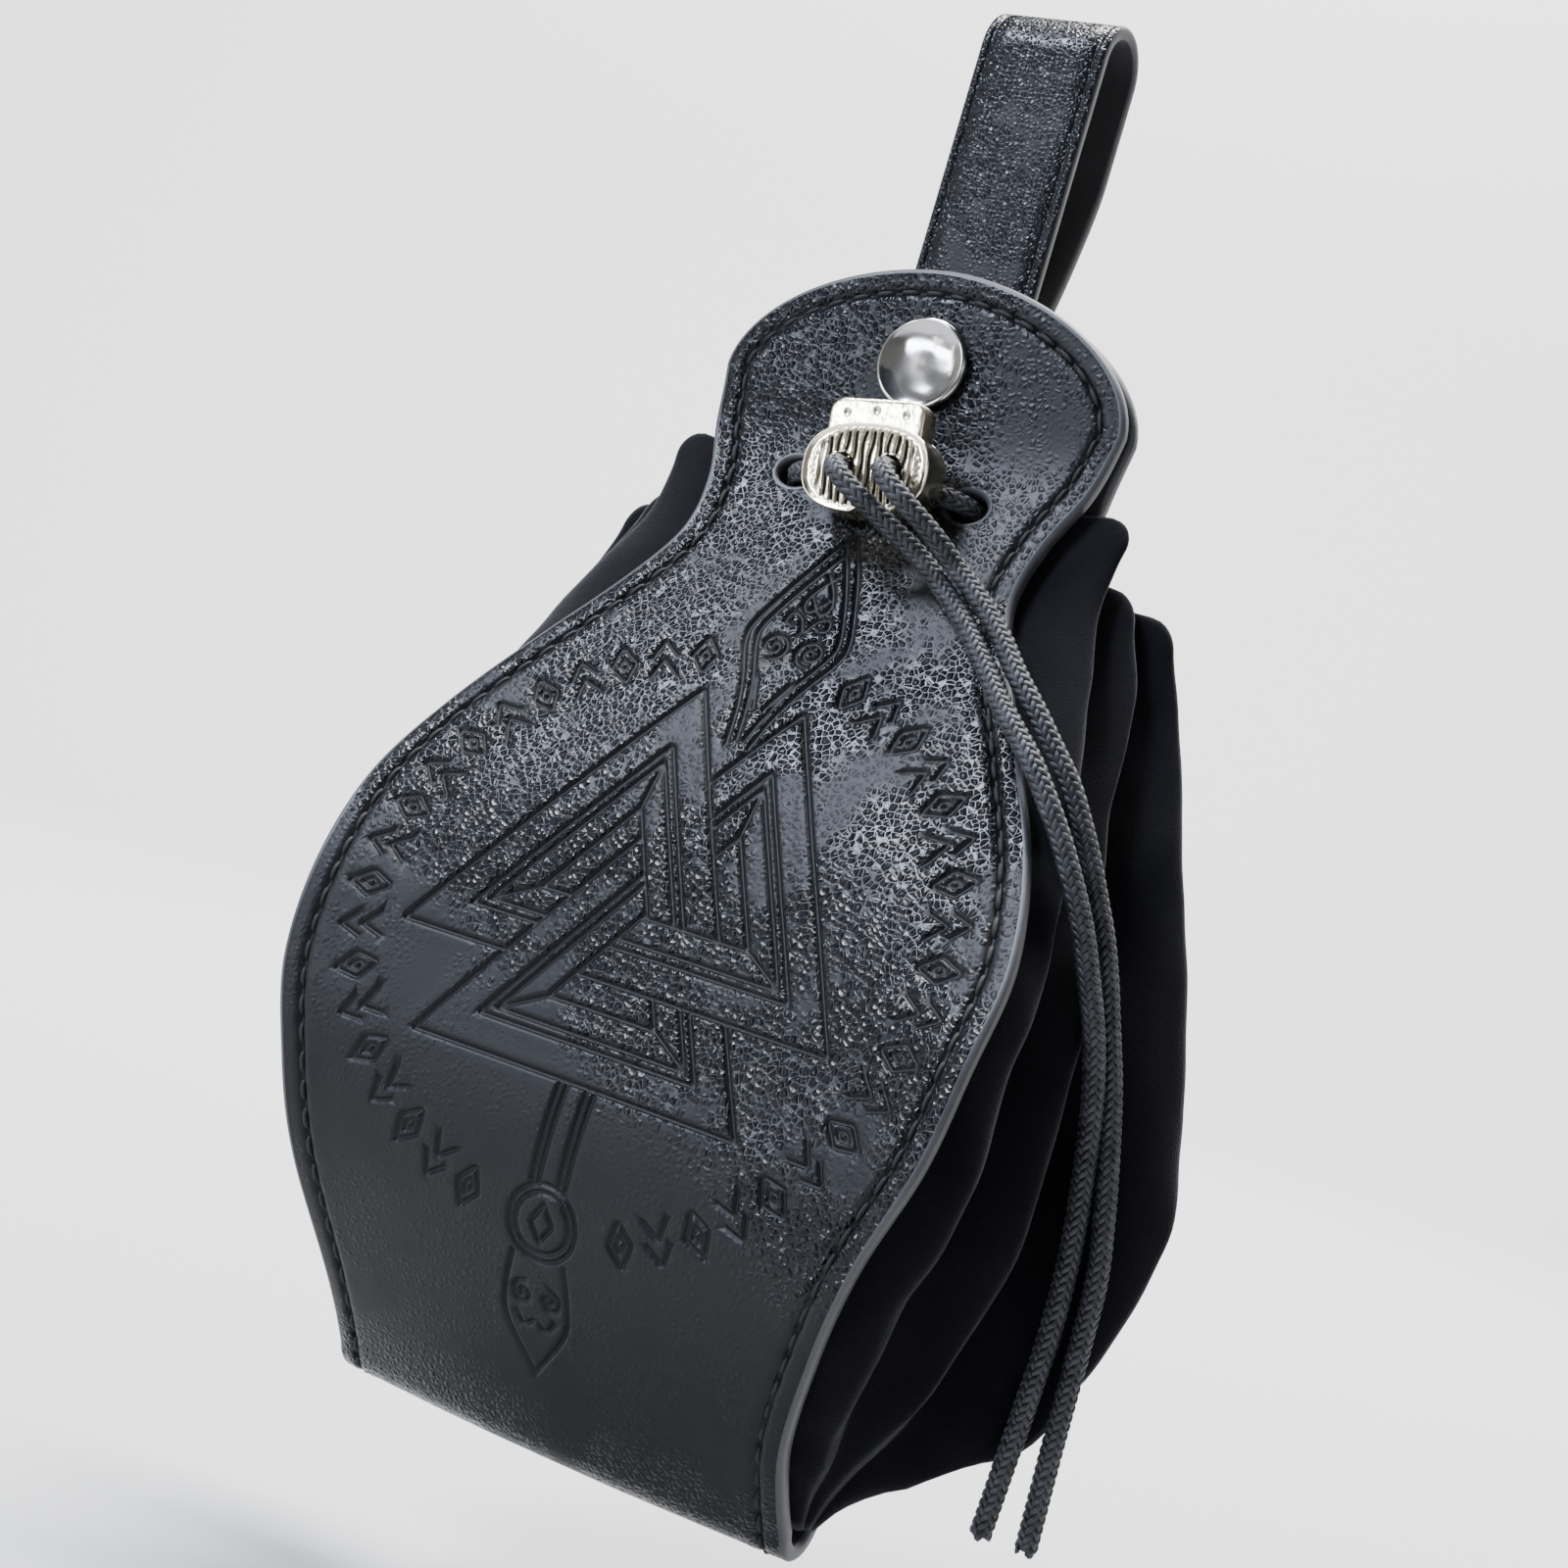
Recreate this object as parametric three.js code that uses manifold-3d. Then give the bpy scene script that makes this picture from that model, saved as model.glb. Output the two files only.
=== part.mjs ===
// Medieval belt pouch: a strip of leather folded under a soft pouch, with pleated velvet sides,
// a press stud, a cord lock on a waxed drawcord, and a belt loop.
// Sizes are in millimetres. +Z is up, +Y points to the wearer, +X is to the right of who looks at it.
// The origin is the place where the belt carries the loop: the middle of the loop's inner top.
import * as THREE from 'three';
import { mergeVertices } from 'three/addons/utils/BufferGeometryUtils.js';
import Module from 'manifold-3d';

// Room that is left between two pieces that touch
const SEAT = 0.3;

// Leather strip: front panel, fold and back panel
const PANEL_LENGTH = 200;
const PANEL_HALF_WIDTH = 55.2;
const HEAD_HALF_WIDTH = 34.8;
const HEAD_HEIGHT = 20.7;
const HEAD_ROUNDNESS = 1.85;
const LEATHER = 2.6;
const HEAD_GAP = 2.0;
const FOLD_RADIUS = 8;
const FOLD_EXIT_LEAN = 28;
const BACK_SWELL = 8.2;

// Pleated velvet sides
const VELVET = 1.0;
const SEAM_LAP = 4.5;
const GUSSET_REACH = 23;
const PLEAT_DEPTH = 13;
const FOOT_CLEARANCE = 1.6;

// Belt loop
const STRAP_WIDTH = 21.7;
const STRAP = 2.2;
const LOOP_GAP = 10.5;
const LOOP_RISE = 44.3;
const LOOP_TAIL = 9;

// Press stud
const STUD_DROP = 15.5;
const CAP_RADIUS = 7.5;
const CAP_HEIGHT = 1.9;
const SOCKET_RADIUS = 2.6;
const SOCKET_BORE = 1.7;
const SOCKET_FLANGE_RADIUS = 4.6;
const STUD_FLANGE = 0.55;
const POST_RADIUS = 2.0;
const POST_FLANGE_RADIUS = 5.5;
const POST_FLANGE = 1.0;

// Cord and its lock
const CORD_DIAMETER = 3.2;
const SLOT_OFFSET = 15;
const SLOT_LENGTH = 6.0;
const SLOT_WIDTH = 4.2;
const LOCK_WIDTH = 20.8;
const LOCK_HEIGHT = 13.8;
const LOCK_DEPTH = 7.0;
const LOCK_ROUNDNESS = 2.6;
const LOCK_LEAN = 7;
const LOCK_SIDE = 2.1;
const LOCK_WALL = 1.0;
const LOCK_EDGE = 0.9;
const HOLE_SPACING = 7.9;
const HOLE_CLEARANCE = 0.4;
const BUTTON_WIDTH = 15.7;
const BUTTON_RISE = 4.0;
const BUTTON_TRAVEL = 2.0;
const BUTTON_RIM = 1.0;
const BUTTON_CORNER = 2.2;

// Fineness of the curves
const HEAD_START = 12;
const HEAD_STEPS = 8;
const FRONT_STEPS = 26;
const FRONT_SUBSTEPS = 7;
const FOLD_STEPS = 7;
const BACK_STEPS = 22;
const ACROSS_STEPS = 8;
const VELVET_STEPS = 25;
const VELVET_MITRE = 1.2;
const LEG_STEPS = 12;
const OVAL_STEPS = 40;
const CORD_SIDES = 8;
const DRAWCORD_STEPS = 64;
const CORD_END_STEPS = 52;
const HOLE_SIDES = 20;
const CORD_HOLE_SIDES = 16;
const CAP_SIDES = 24;
const POST_SIDES = 16;

// Front panel below the head: share of the length down to the fold, half width as a share of the
// greatest half width, lean of the face from upright in degrees, and how far its edges stand
// forward of its middle as a share of the greatest half width
const PANEL_ROWS = [
  { down: 0.052, half: 0.598, lean: 14, dish: 0 },
  { down: 0.108, half: 0.536, lean: 20, dish: 0 },
  { down: 0.163, half: 0.524, lean: 24, dish: 0 },
  { down: 0.219, half: 0.596, lean: 25.5, dish: 0 },
  { down: 0.303, half: 0.752, lean: 26, dish: 0 },
  { down: 0.386, half: 0.899, lean: 22.5, dish: 0.006 },
  { down: 0.47, half: 0.993, lean: 17, dish: 0.047 },
  { down: 0.554, half: 1, lean: 15, dish: 0.085 },
  { down: 0.637, half: 0.975, lean: 13, dish: 0.067 },
  { down: 0.721, half: 0.889, lean: -3, dish: 0.036 },
  { down: 0.805, half: 0.815, lean: -22, dish: 0.011 },
  { down: 0.888, half: 0.745, lean: -29, dish: -0.018 },
  { down: 0.944, half: 0.728, lean: -31, dish: -0.045 },
  { down: 1, half: 0.732, lean: -32, dish: -0.07 },
];

// Back panel from the fold up to the head: share of the height, share of the way from the fold's
// exit to the head's plane, and share of the swell
const BACK_ROWS = [
  { up: 0, way: 0, swell: 0 },
  { up: 0.069, way: 0.36, swell: 0.09 },
  { up: 0.162, way: 0.72, swell: 0.38 },
  { up: 0.256, way: 0.9, swell: 0.65 },
  { up: 0.349, way: 0.98, swell: 0.87 },
  { up: 0.443, way: 1, swell: 0.98 },
  { up: 0.537, way: 1, swell: 1 },
  { up: 0.661, way: 1, swell: 0.83 },
  { up: 0.755, way: 1, swell: 0.7 },
  { up: 0.848, way: 1, swell: 0.5 },
  { up: 0.911, way: 1, swell: 0.3 },
  { up: 0.955, way: 1, swell: 0.02 },
  { up: 1, way: 1, swell: 0 },
];

// Velvet side, from the mouth down to the fold: share of the pouch's height, reach of the three
// pleats past the panel's edge as shares of the greatest reach (the third has a front and a rear
// corner), depth of the folds between them as a share of the pleat depth, and how far the pleats
// have opened from their gathered spacing
const GUSSET_ROWS = [
  { down: 0.17, first: 0.3, second: 0.5, third: 0.6, rear: 0.82, fold: 1, spread: 0 },
  { down: 0.235, first: 0.39, second: 0.54, third: 0.61, rear: 0.865, fold: 1, spread: 0 },
  { down: 0.295, first: 0.42, second: 0.6, third: 0.65, rear: 0.86, fold: 0.9, spread: 0.15 },
  { down: 0.345, first: 0.33, second: 0.49, third: 0.585, rear: 0.78, fold: 0.78, spread: 0.5 },
  { down: 0.417, first: 0.13, second: 0.25, third: 0.46, rear: 0.61, fold: 0.62, spread: 0.9 },
  { down: 0.48, first: 0.05, second: 0.14, third: 0.38, rear: 0.55, fold: 0.54, spread: 1 },
  { down: 0.557, first: 0.03, second: 0.13, third: 0.43, rear: 0.545, fold: 0.5, spread: 1 },
  { down: 0.643, first: 0.04, second: 0.18, third: 0.57, rear: 0.75, fold: 0.42, spread: 1 },
  { down: 0.702, first: 0.12, second: 0.26, third: 0.67, rear: 0.925, fold: 0.38, spread: 1 },
  { down: 0.75, first: 0.155, second: 0.38, third: 0.75, rear: 0.97, fold: 0.3, spread: 1 },
  { down: 0.797, first: 0.13, second: 0.41, third: 0.76, rear: 1, fold: 0.22, spread: 1 },
  { down: 0.84, first: 0.13, second: 0.39, third: 0.72, rear: 0.98, fold: 0.16, spread: 1 },
  { down: 0.888, first: 0.13, second: 0.35, third: 0.65, rear: 0.94, fold: 0.09, spread: 1 },
  { down: 0.915, first: 0.11, second: 0.26, third: 0.48, rear: 0.77, fold: 0.04, spread: 1 },
  { down: 0.942, first: 0.09, second: 0.17, third: 0.35, rear: 0.5, fold: 0, spread: 1 },
  { down: 0.968, first: 0.04, second: 0.1, third: 0.16, rear: 0.2, fold: 0, spread: 1 },
  { down: 1, first: 0, second: 0.02, third: 0.03, rear: 0.03, fold: 0, spread: 1 },
];

// Columns of the velvet from the front seam to the back seam: which reach it follows, its place
// between the panels where gathered and where open, and its top edge as a share of the height
const GUSSET_COLUMNS = [
  { follows: 'seam', gathered: 0, open: 0, top: 0.185 },
  { follows: 'first', gathered: 0.04, open: 0.1, top: 0.176 },
  { follows: 'first', gathered: 0.31, open: 0.17, top: 0.18 },
  { follows: 'foldOne', gathered: 0.31, open: 0.25, top: 0.205 },
  { follows: 'foldOne', gathered: 0.49, open: 0.32, top: 0.23 },
  { follows: 'second', gathered: 0.49, open: 0.4, top: 0.232 },
  { follows: 'second', gathered: 0.66, open: 0.47, top: 0.234 },
  { follows: 'foldTwo', gathered: 0.66, open: 0.55, top: 0.237 },
  { follows: 'foldTwo', gathered: 0.82, open: 0.62, top: 0.24 },
  { follows: 'third', gathered: 0.82, open: 0.7, top: 0.245 },
  { follows: 'rear', gathered: 0.96, open: 0.87, top: 0.246 },
  { follows: 'seam', gathered: 1, open: 1, top: 0.25 },
];

// Rear leg of the belt loop: share of the way down from its arc to the joint, share of the gap
const LOOP_ROWS = [
  { down: 0, open: 1 },
  { down: 0.22, open: 1 },
  { down: 0.38, open: 0.98 },
  { down: 0.58, open: 0.78 },
  { down: 0.78, open: 0.5 },
  { down: 0.93, open: 0.2 },
  { down: 1, open: 0.04 },
];

// Profile of the stud's cap: share of its radius, and share of its height out from the leather
const CAP_PROFILE = [
  { radius: 0, out: 0.8 },
  { radius: 0.55, out: 0.88 },
  { radius: 0.82, out: 1 },
  { radius: 0.95, out: 0.86 },
  { radius: 1, out: 0.5 },
  { radius: 0.96, out: 0 },
];

// Routes of the cords, points in order from the lock
const DRAWCORD_ROUTE = [
  [6, -24.5, -78.9], [6, -22.3, -78.9], [7.2, -20, -79.1], [9.8, -19.4, -79.4],
  [12.6, -19.1, -79.7], [15, -17.2, -80.2], [15.9, -14.8, -81], [17, -12.6, -82.6],
  [17.6, -10.8, -85.2], [14.6, -9.9, -87.7], [7.2, -9.7, -89], [0, -9.7, -89.2],
  [-7.2, -9.7, -89], [-14.6, -9.9, -87.7], [-17.6, -10.8, -85.2], [-17, -12.6, -82.8],
  [-15.9, -14.8, -81.2], [-15, -17.2, -80.4], [-12.6, -19.1, -80.1], [-8.4, -19.6, -79.9],
  [-4.4, -19.7, -79.9], [-2.4, -20.7, -79.9], [-1.8, -22.6, -79.9], [-1.8, -24.5, -79.9],
];
const LEFT_END_ROUTE = [
  [-1.8, -24.9, -79.9], [-1.8, -28.7, -79.9], [-0.9, -32, -80.5], [1.4, -34.2, -82],
  [4.3, -34.3, -83.9], [9.6, -30.6, -87.3], [14.4, -27.2, -90.4], [20, -26.9, -94.6],
  [25.5, -28.8, -98.8], [31, -31.1, -103.8], [35.3, -33.2, -108], [40, -35.2, -112],
  [44.8, -36.7, -116.2], [48.3, -36.9, -120.4], [51.3, -36, -124.8], [54.5, -34.6, -130.5],
  [57, -32.4, -136.3], [59.2, -30.5, -142.7], [61.4, -28.4, -150], [62.9, -26.3, -158.2],
  [64, -25.1, -166.8], [65.1, -24.8, -175.5], [65.7, -24.8, -183.5], [65.8, -24.8, -191.5],
  [65.4, -24.8, -200], [65, -24.8, -207], [64.6, -24.8, -214], [64.3, -24.8, -219.5],
];
const RIGHT_END_ROUTE = [
  [6, -24.9, -78.9], [6, -28.7, -78.9], [6.8, -32, -79.5], [9.1, -34.2, -81.2],
  [11.9, -34.3, -83.3], [16.9, -30.6, -87.2], [21, -27.2, -91], [26.4, -27.6, -95],
  [31.8, -29.4, -99.6], [36.4, -31.2, -104.2], [40.8, -31.9, -108.4], [45, -31.7, -113],
  [48.6, -31.1, -117.2], [51.3, -30.3, -121.6], [53.7, -29.2, -126.2], [56.1, -28.1, -131.5],
  [58.2, -27.1, -136.3], [60.1, -26, -141.9], [61.6, -24.9, -147.4], [63.8, -23.5, -155.2],
  [66, -22.7, -164.4], [67.9, -22.6, -173], [69.4, -22.7, -181.4], [69.6, -22.3, -189.9],
  [69.7, -22.1, -198], [69.8, -22, -206], [70, -22, -213], [70.2, -22, -219.8],
];

// Places that follow from the sizes
const headFrontY = -(LOOP_GAP / 2 + STRAP + SEAT + LEATHER + HEAD_GAP + LEATHER);
const headBackY = headFrontY + LEATHER + HEAD_GAP + LEATHER;
const headTopZ = -LOOP_RISE;
const studZ = headTopZ - STUD_DROP;

function radians(degrees) {
  return THREE.MathUtils.degToRad(degrees);
}

// Smooth value of one column of a table between its rows
function smooth(rows, key, column, at) {
  const last = rows.length - 1;
  if (at <= rows[0][key]) return rows[0][column];
  if (at >= rows[last][key]) return rows[last][column];
  let row = 0;
  while (rows[row + 1][key] < at) row += 1;
  const slope = (k) => {
    const before = rows[Math.max(k - 1, 0)];
    const after = rows[Math.min(k + 1, last)];
    return (after[column] - before[column]) / (after[key] - before[key]);
  };
  const span = rows[row + 1][key] - rows[row][key];
  const t = (at - rows[row][key]) / span;
  const rise = t * t * (3 - 2 * t);
  const lead = t * (1 - t) * (1 - t);
  const trail = t * t * (t - 1);
  return rows[row][column] * (1 - rise) + rows[row + 1][column] * rise
    + span * (lead * slope(row) + trail * slope(row + 1));
}

// Solids are joined and cut with manifold-3d, whose numbers are 32-bit
const wasm = await Module();
wasm.setup();

function toManifold(geometry) {
  const bare = geometry.clone();
  bare.deleteAttribute('normal');
  bare.deleteAttribute('uv');
  const merged = mergeVertices(bare, 1e-4);
  const place = merged.getAttribute('position');
  const index = merged.getIndex().array;
  const corner = (k) => new THREE.Vector3().fromBufferAttribute(place, k);
  const triangles = [];
  let volume = 0;
  for (let k = 0; k < index.length; k += 3) {
    const [a, b, c] = [index[k], index[k + 1], index[k + 2]];
    if (a === b || b === c || c === a) continue;
    triangles.push(a, b, c);
    volume += corner(a).dot(corner(b).cross(corner(c)));
  }
  if (volume < 0) triangles.reverse();
  return new wasm.Manifold(new wasm.Mesh({
    numProp: 3,
    vertProperties: new Float32Array(place.array),
    triVerts: new Uint32Array(triangles),
  }));
}

function toGeometry(solid) {
  const mesh = solid.getMesh();
  const geometry = new THREE.BufferGeometry();
  geometry.setAttribute('position', new THREE.BufferAttribute(mesh.vertProperties, mesh.numProp));
  geometry.setIndex(new THREE.BufferAttribute(mesh.triVerts, 1));
  return geometry;
}

// Wall made of two matching grids of points: faces, and a rim all round
function wallBetween(outer, inner) {
  const rows = outer.length;
  const columns = outer[0].length;
  const points = [...outer.flat(), ...inner.flat()];
  const at = (layer, row, column) => layer * rows * columns + row * columns + column;
  const index = [];
  const quad = (a, b, c, d) => index.push(a, b, c, a, c, d);
  for (let r = 0; r + 1 < rows; r += 1) {
    for (let c = 0; c + 1 < columns; c += 1) {
      quad(at(0, r, c), at(0, r + 1, c), at(0, r + 1, c + 1), at(0, r, c + 1));
      quad(at(1, r, c), at(1, r, c + 1), at(1, r + 1, c + 1), at(1, r + 1, c));
    }
    const end = columns - 1;
    quad(at(0, r, 0), at(1, r, 0), at(1, r + 1, 0), at(0, r + 1, 0));
    quad(at(0, r, end), at(0, r + 1, end), at(1, r + 1, end), at(1, r, end));
  }
  for (let c = 0; c + 1 < columns; c += 1) {
    const foot = rows - 1;
    quad(at(0, 0, c), at(0, 0, c + 1), at(1, 0, c + 1), at(1, 0, c));
    quad(at(0, foot, c), at(1, foot, c), at(1, foot, c + 1), at(0, foot, c + 1));
  }
  const geometry = new THREE.BufferGeometry();
  geometry.setAttribute('position', new THREE.Float32BufferAttribute(points.flat(), 3));
  geometry.setIndex(index);
  return geometry;
}

// Outline of the rounded head: places down from its top, and half width at each
function headRows() {
  const rows = [];
  for (let k = 0; k <= HEAD_STEPS; k += 1) {
    const turn = radians(THREE.MathUtils.lerp(HEAD_START, 90, k / HEAD_STEPS));
    rows.push({
      drop: HEAD_HEIGHT * (1 - Math.cos(turn) ** (2 / HEAD_ROUNDNESS)),
      half: HEAD_HALF_WIDTH * Math.sin(turn) ** (2 / HEAD_ROUNDNESS),
    });
  }
  rows[0].drop = 0;
  return rows;
}

// Middle line of the strip's outer face from the front head round the fold to the back head
function stripStations() {
  const stations = headRows().map((row) => ({
    y: headFrontY, z: headTopZ - row.drop, along: -90, half: row.half, dish: 0,
  }));
  const head = { down: 0, half: HEAD_HALF_WIDTH / PANEL_HALF_WIDTH, lean: 0, dish: 0 };
  const rows = [head, ...PANEL_ROWS];
  const length = PANEL_LENGTH - HEAD_HEIGHT;
  const foldStart = 1 - FOLD_RADIUS / 2 / length;
  const steps = FRONT_STEPS * FRONT_SUBSTEPS;
  let { y, z } = stations[stations.length - 1];
  for (let k = 1; k <= steps; k += 1) {
    const down = (foldStart * k) / steps;
    const lean = radians(smooth(rows, 'down', 'lean', down - foldStart / steps / 2));
    y -= (Math.sin(lean) * length * foldStart) / steps;
    z -= (Math.cos(lean) * length * foldStart) / steps;
    if (k % FRONT_SUBSTEPS === 0) {
      stations.push({
        y,
        z,
        along: -90 - smooth(rows, 'down', 'lean', down),
        half: smooth(rows, 'down', 'half', down) * PANEL_HALF_WIDTH,
        dish: smooth(rows, 'down', 'dish', down) * PANEL_HALF_WIDTH,
      });
    }
  }
  // The fold turns from the front panel's lean to the back panel's
  const start = stations[stations.length - 1];
  const turnFrom = start.along;
  const turnTo = 90 - FOLD_EXIT_LEAN;
  const middle = {
    y: start.y - Math.sin(radians(turnFrom)) * FOLD_RADIUS,
    z: start.z + Math.cos(radians(turnFrom)) * FOLD_RADIUS,
  };
  for (let k = 1; k <= FOLD_STEPS; k += 1) {
    const along = THREE.MathUtils.lerp(turnFrom, turnTo, k / FOLD_STEPS);
    stations.push({
      y: middle.y + Math.sin(radians(along)) * FOLD_RADIUS,
      z: middle.z - Math.cos(radians(along)) * FOLD_RADIUS,
      along,
      half: start.half,
      dish: start.dish * (1 - k / FOLD_STEPS),
      fold: true,
    });
  }
  // The back panel has the front panel's outline at each height
  const exit = stations[stations.length - 1];
  const front = stations.filter((station) => !station.fold);
  const headFoot = headTopZ - HEAD_HEIGHT;
  const rise = headFoot - exit.z;
  const backY = (up) => THREE.MathUtils.lerp(exit.y, headBackY, smooth(BACK_ROWS, 'up', 'way', up))
    + BACK_SWELL * smooth(BACK_ROWS, 'up', 'swell', up);
  for (let k = 1; k <= BACK_STEPS; k += 1) {
    const up = k / BACK_STEPS;
    const step = 0.5 / BACK_STEPS;
    const run = (backY(up + step) - backY(up - step)) / (up === 1 ? 1 : 2 * step * rise);
    const place = exit.z + up * rise;
    stations.push({
      y: backY(up),
      z: place,
      along: up === 1 ? 90 : 90 - THREE.MathUtils.radToDeg(Math.atan(run)),
      half: halfAtHeight(front, place),
      dish: 0,
    });
  }
  headRows().reverse().slice(1).forEach((row) => {
    stations.push({ y: headBackY, z: headTopZ - row.drop, along: 90, half: row.half, dish: 0 });
  });
  return stations;
}

// Half width of the front panel at a height
function halfAtHeight(front, z) {
  const last = front.length - 1;
  if (z <= front[last].z) return front[last].half;
  let k = 0;
  while (front[k + 1].z > z) k += 1;
  const t = (front[k].z - z) / (front[k].z - front[k + 1].z);
  return THREE.MathUtils.lerp(front[k].half, front[k + 1].half, t);
}

const stations = stripStations();
const frontStations = stations.slice(0, stations.findIndex((station) => station.fold));

// Point of the strip's face: share of the half width across, and depth into the leather
function stripPoint(station, share, depth) {
  const along = radians(station.along);
  return [
    share * station.half,
    station.y - station.dish * share * share - Math.sin(along) * depth,
    station.z + Math.cos(along) * depth,
  ];
}

// Depth of the pouch's room at a height near the panels' edges, where the velvet is sewn
const innerEdge = stations.map((station) => {
  const share = Math.max(0, 1 - SEAM_LAP / station.half);
  const reach = station.dish > 0 ? share : 1;
  const [, y, z] = stripPoint(station, reach, LEATHER);
  return { y, z };
});
const lowestInner = innerEdge.reduce((low, point, k) => (point.z < innerEdge[low].z ? k : low), 0);

function roomAt(z) {
  const onSide = (side) => {
    let k = 0;
    while (k + 2 < side.length && side[k + 1].z > z) k += 1;
    const t = (side[k].z - z) / (side[k].z - side[k + 1].z);
    return THREE.MathUtils.lerp(side[k].y, side[k + 1].y, t);
  };
  return {
    front: onSide(innerEdge.slice(0, lowestInner + 1)),
    back: onSide(innerEdge.slice(lowestInner).reverse()),
  };
}

function turnedCylinder(radius, length, sides) {
  return new THREE.CylinderGeometry(radius, radius, length, sides);
}

// Leather strip with its two cord slots and the holes for the press stud
function leatherBody() {
  const grid = (depth) => stations.map((station) => (
    Array.from({ length: ACROSS_STEPS + 1 }, (_, k) => (
      stripPoint(station, (2 * k) / ACROSS_STEPS - 1, depth)
    ))
  ));
  let solid = toManifold(wallBetween(grid(0), grid(LEATHER)));
  for (const side of [-1, 1]) {
    const slot = turnedCylinder(SLOT_WIDTH / 2, 4 * LEATHER, CORD_HOLE_SIDES);
    slot.scale(SLOT_LENGTH / SLOT_WIDTH, 1, 1);
    slot.translate(side * SLOT_OFFSET, slotFace.y, slotFace.z);
    solid = solid.subtract(toManifold(slot));
  }
  const cordRoom = cordTube(DRAWCORD_ROUTE, CORD_DIAMETER + 2 * SEAT, DRAWCORD_STEPS);
  solid = solid.subtract(toManifold(cordRoom));
  const frontHole = turnedCylinder(SOCKET_RADIUS + SEAT, 2 * LEATHER, HOLE_SIDES);
  frontHole.translate(0, headFrontY + LEATHER / 2, studZ);
  const backHole = turnedCylinder(POST_RADIUS + SEAT, 2 * LEATHER, HOLE_SIDES);
  backHole.translate(0, headBackY - LEATHER / 2, studZ);
  return solid.subtract(toManifold(frontHole)).subtract(toManifold(backHole));
}

// The slots lie on the panel's face at the height where the hidden cord passes through it
const slotPass = DRAWCORD_ROUTE[5];
const slotFace = (() => {
  const k = frontStations.findIndex((station) => station.z < slotPass[2]);
  const [above, below] = [frontStations[k - 1], frontStations[k]];
  const t = (above.z - slotPass[2]) / (above.z - below.z);
  return { y: THREE.MathUtils.lerp(above.y, below.y, t) + LEATHER / 2, z: slotPass[2] };
})();

// Pleated side wall: columns of points from the front seam to the back seam
function gusset(side) {
  const foot = innerEdge[lowestInner].z + VELVET + FOOT_CLEARANCE;
  const height = headTopZ - foot;
  const seat = SEAT * 1.5 + VELVET / 2;
  const place = (column, down) => {
    const z = headTopZ - down * height;
    const value = (name) => smooth(GUSSET_ROWS, 'down', name, down);
    const reach = {
      seam: -SEAM_LAP,
      first: value('first') * GUSSET_REACH,
      second: value('second') * GUSSET_REACH,
      third: value('third') * GUSSET_REACH,
      rear: value('rear') * GUSSET_REACH,
    };
    reach.foldOne = Math.min(reach.first, reach.second) - value('fold') * PLEAT_DEPTH;
    reach.foldTwo = Math.min(reach.second, reach.third) - value('fold') * PLEAT_DEPTH;
    const room = roomAt(z);
    const share = THREE.MathUtils.lerp(column.gathered, column.open, value('spread'));
    return [
      halfAtHeight(frontStations, z) + reach[column.follows],
      THREE.MathUtils.lerp(room.front + seat, room.back - seat, share),
      z,
    ];
  };
  const outer = [];
  const inner = [];
  for (let r = 0; r <= VELVET_STEPS; r += 1) {
    const line = GUSSET_COLUMNS.map((column) => (
      place(column, THREE.MathUtils.lerp(column.top, 1, r / VELVET_STEPS))
    ));
    const shifted = (amount) => line.map(([x, y, z], k) => {
      const [dx, dy] = cornerShift(line, k);
      return [side * (x + dx * amount), y + dy * amount, z];
    });
    outer.push(shifted(VELVET / 2));
    inner.push(shifted(-VELVET / 2));
  }
  return toManifold(wallBetween(outer, inner));
}

// Direction, seen from above, in which a corner of a line of points moves when the wall thickens
function cornerShift(line, k) {
  const normal = (a, b) => {
    const [dx, dy] = [b[0] - a[0], b[1] - a[1]];
    const long = Math.hypot(dx, dy);
    return [dy / long, -dx / long];
  };
  const before = k > 0 ? normal(line[k - 1], line[k]) : normal(line[k], line[k + 1]);
  const after = k + 1 < line.length ? normal(line[k], line[k + 1]) : before;
  const sum = [before[0] + after[0], before[1] + after[1]];
  const square = sum[0] ** 2 + sum[1] ** 2;
  const scale = 2 / Math.max(square, VELVET_MITRE);
  return [sum[0] * scale, sum[1] * scale];
}

// Round cord along a route
function cordTube(route, diameter, steps) {
  const section = new THREE.Shape(Array.from({ length: CORD_SIDES }, (_, k) => {
    const turn = (2 * Math.PI * k) / CORD_SIDES;
    return new THREE.Vector2((diameter / 2) * Math.cos(turn), (diameter / 2) * Math.sin(turn));
  }));
  const path = new THREE.CatmullRomCurve3(route.map((point) => new THREE.Vector3(...point)));
  return new THREE.ExtrudeGeometry(section, { steps, extrudePath: path });
}

function cordPiece(route, steps) {
  return toGeometry(toManifold(cordTube(route, CORD_DIAMETER, steps)));
}

// Plate with its outline seen from the front, from a front face y and a depth
function frontPlate(shape, frontY, depth, bevel = 0) {
  const geometry = new THREE.ExtrudeGeometry(shape, {
    depth: depth - 2 * bevel,
    bevelEnabled: bevel > 0,
    bevelThickness: bevel,
    bevelSize: bevel,
    bevelOffset: -bevel,
    bevelSegments: 3,
    curveSegments: 6,
    steps: 1,
  });
  const turn = new THREE.Matrix4().makeBasis(
    new THREE.Vector3(1, 0, 0),
    new THREE.Vector3(0, 0, 1),
    new THREE.Vector3(0, -1, 0),
  );
  geometry.applyMatrix4(turn);
  geometry.translate(0, frontY + depth - bevel, 0);
  return geometry;
}

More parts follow.
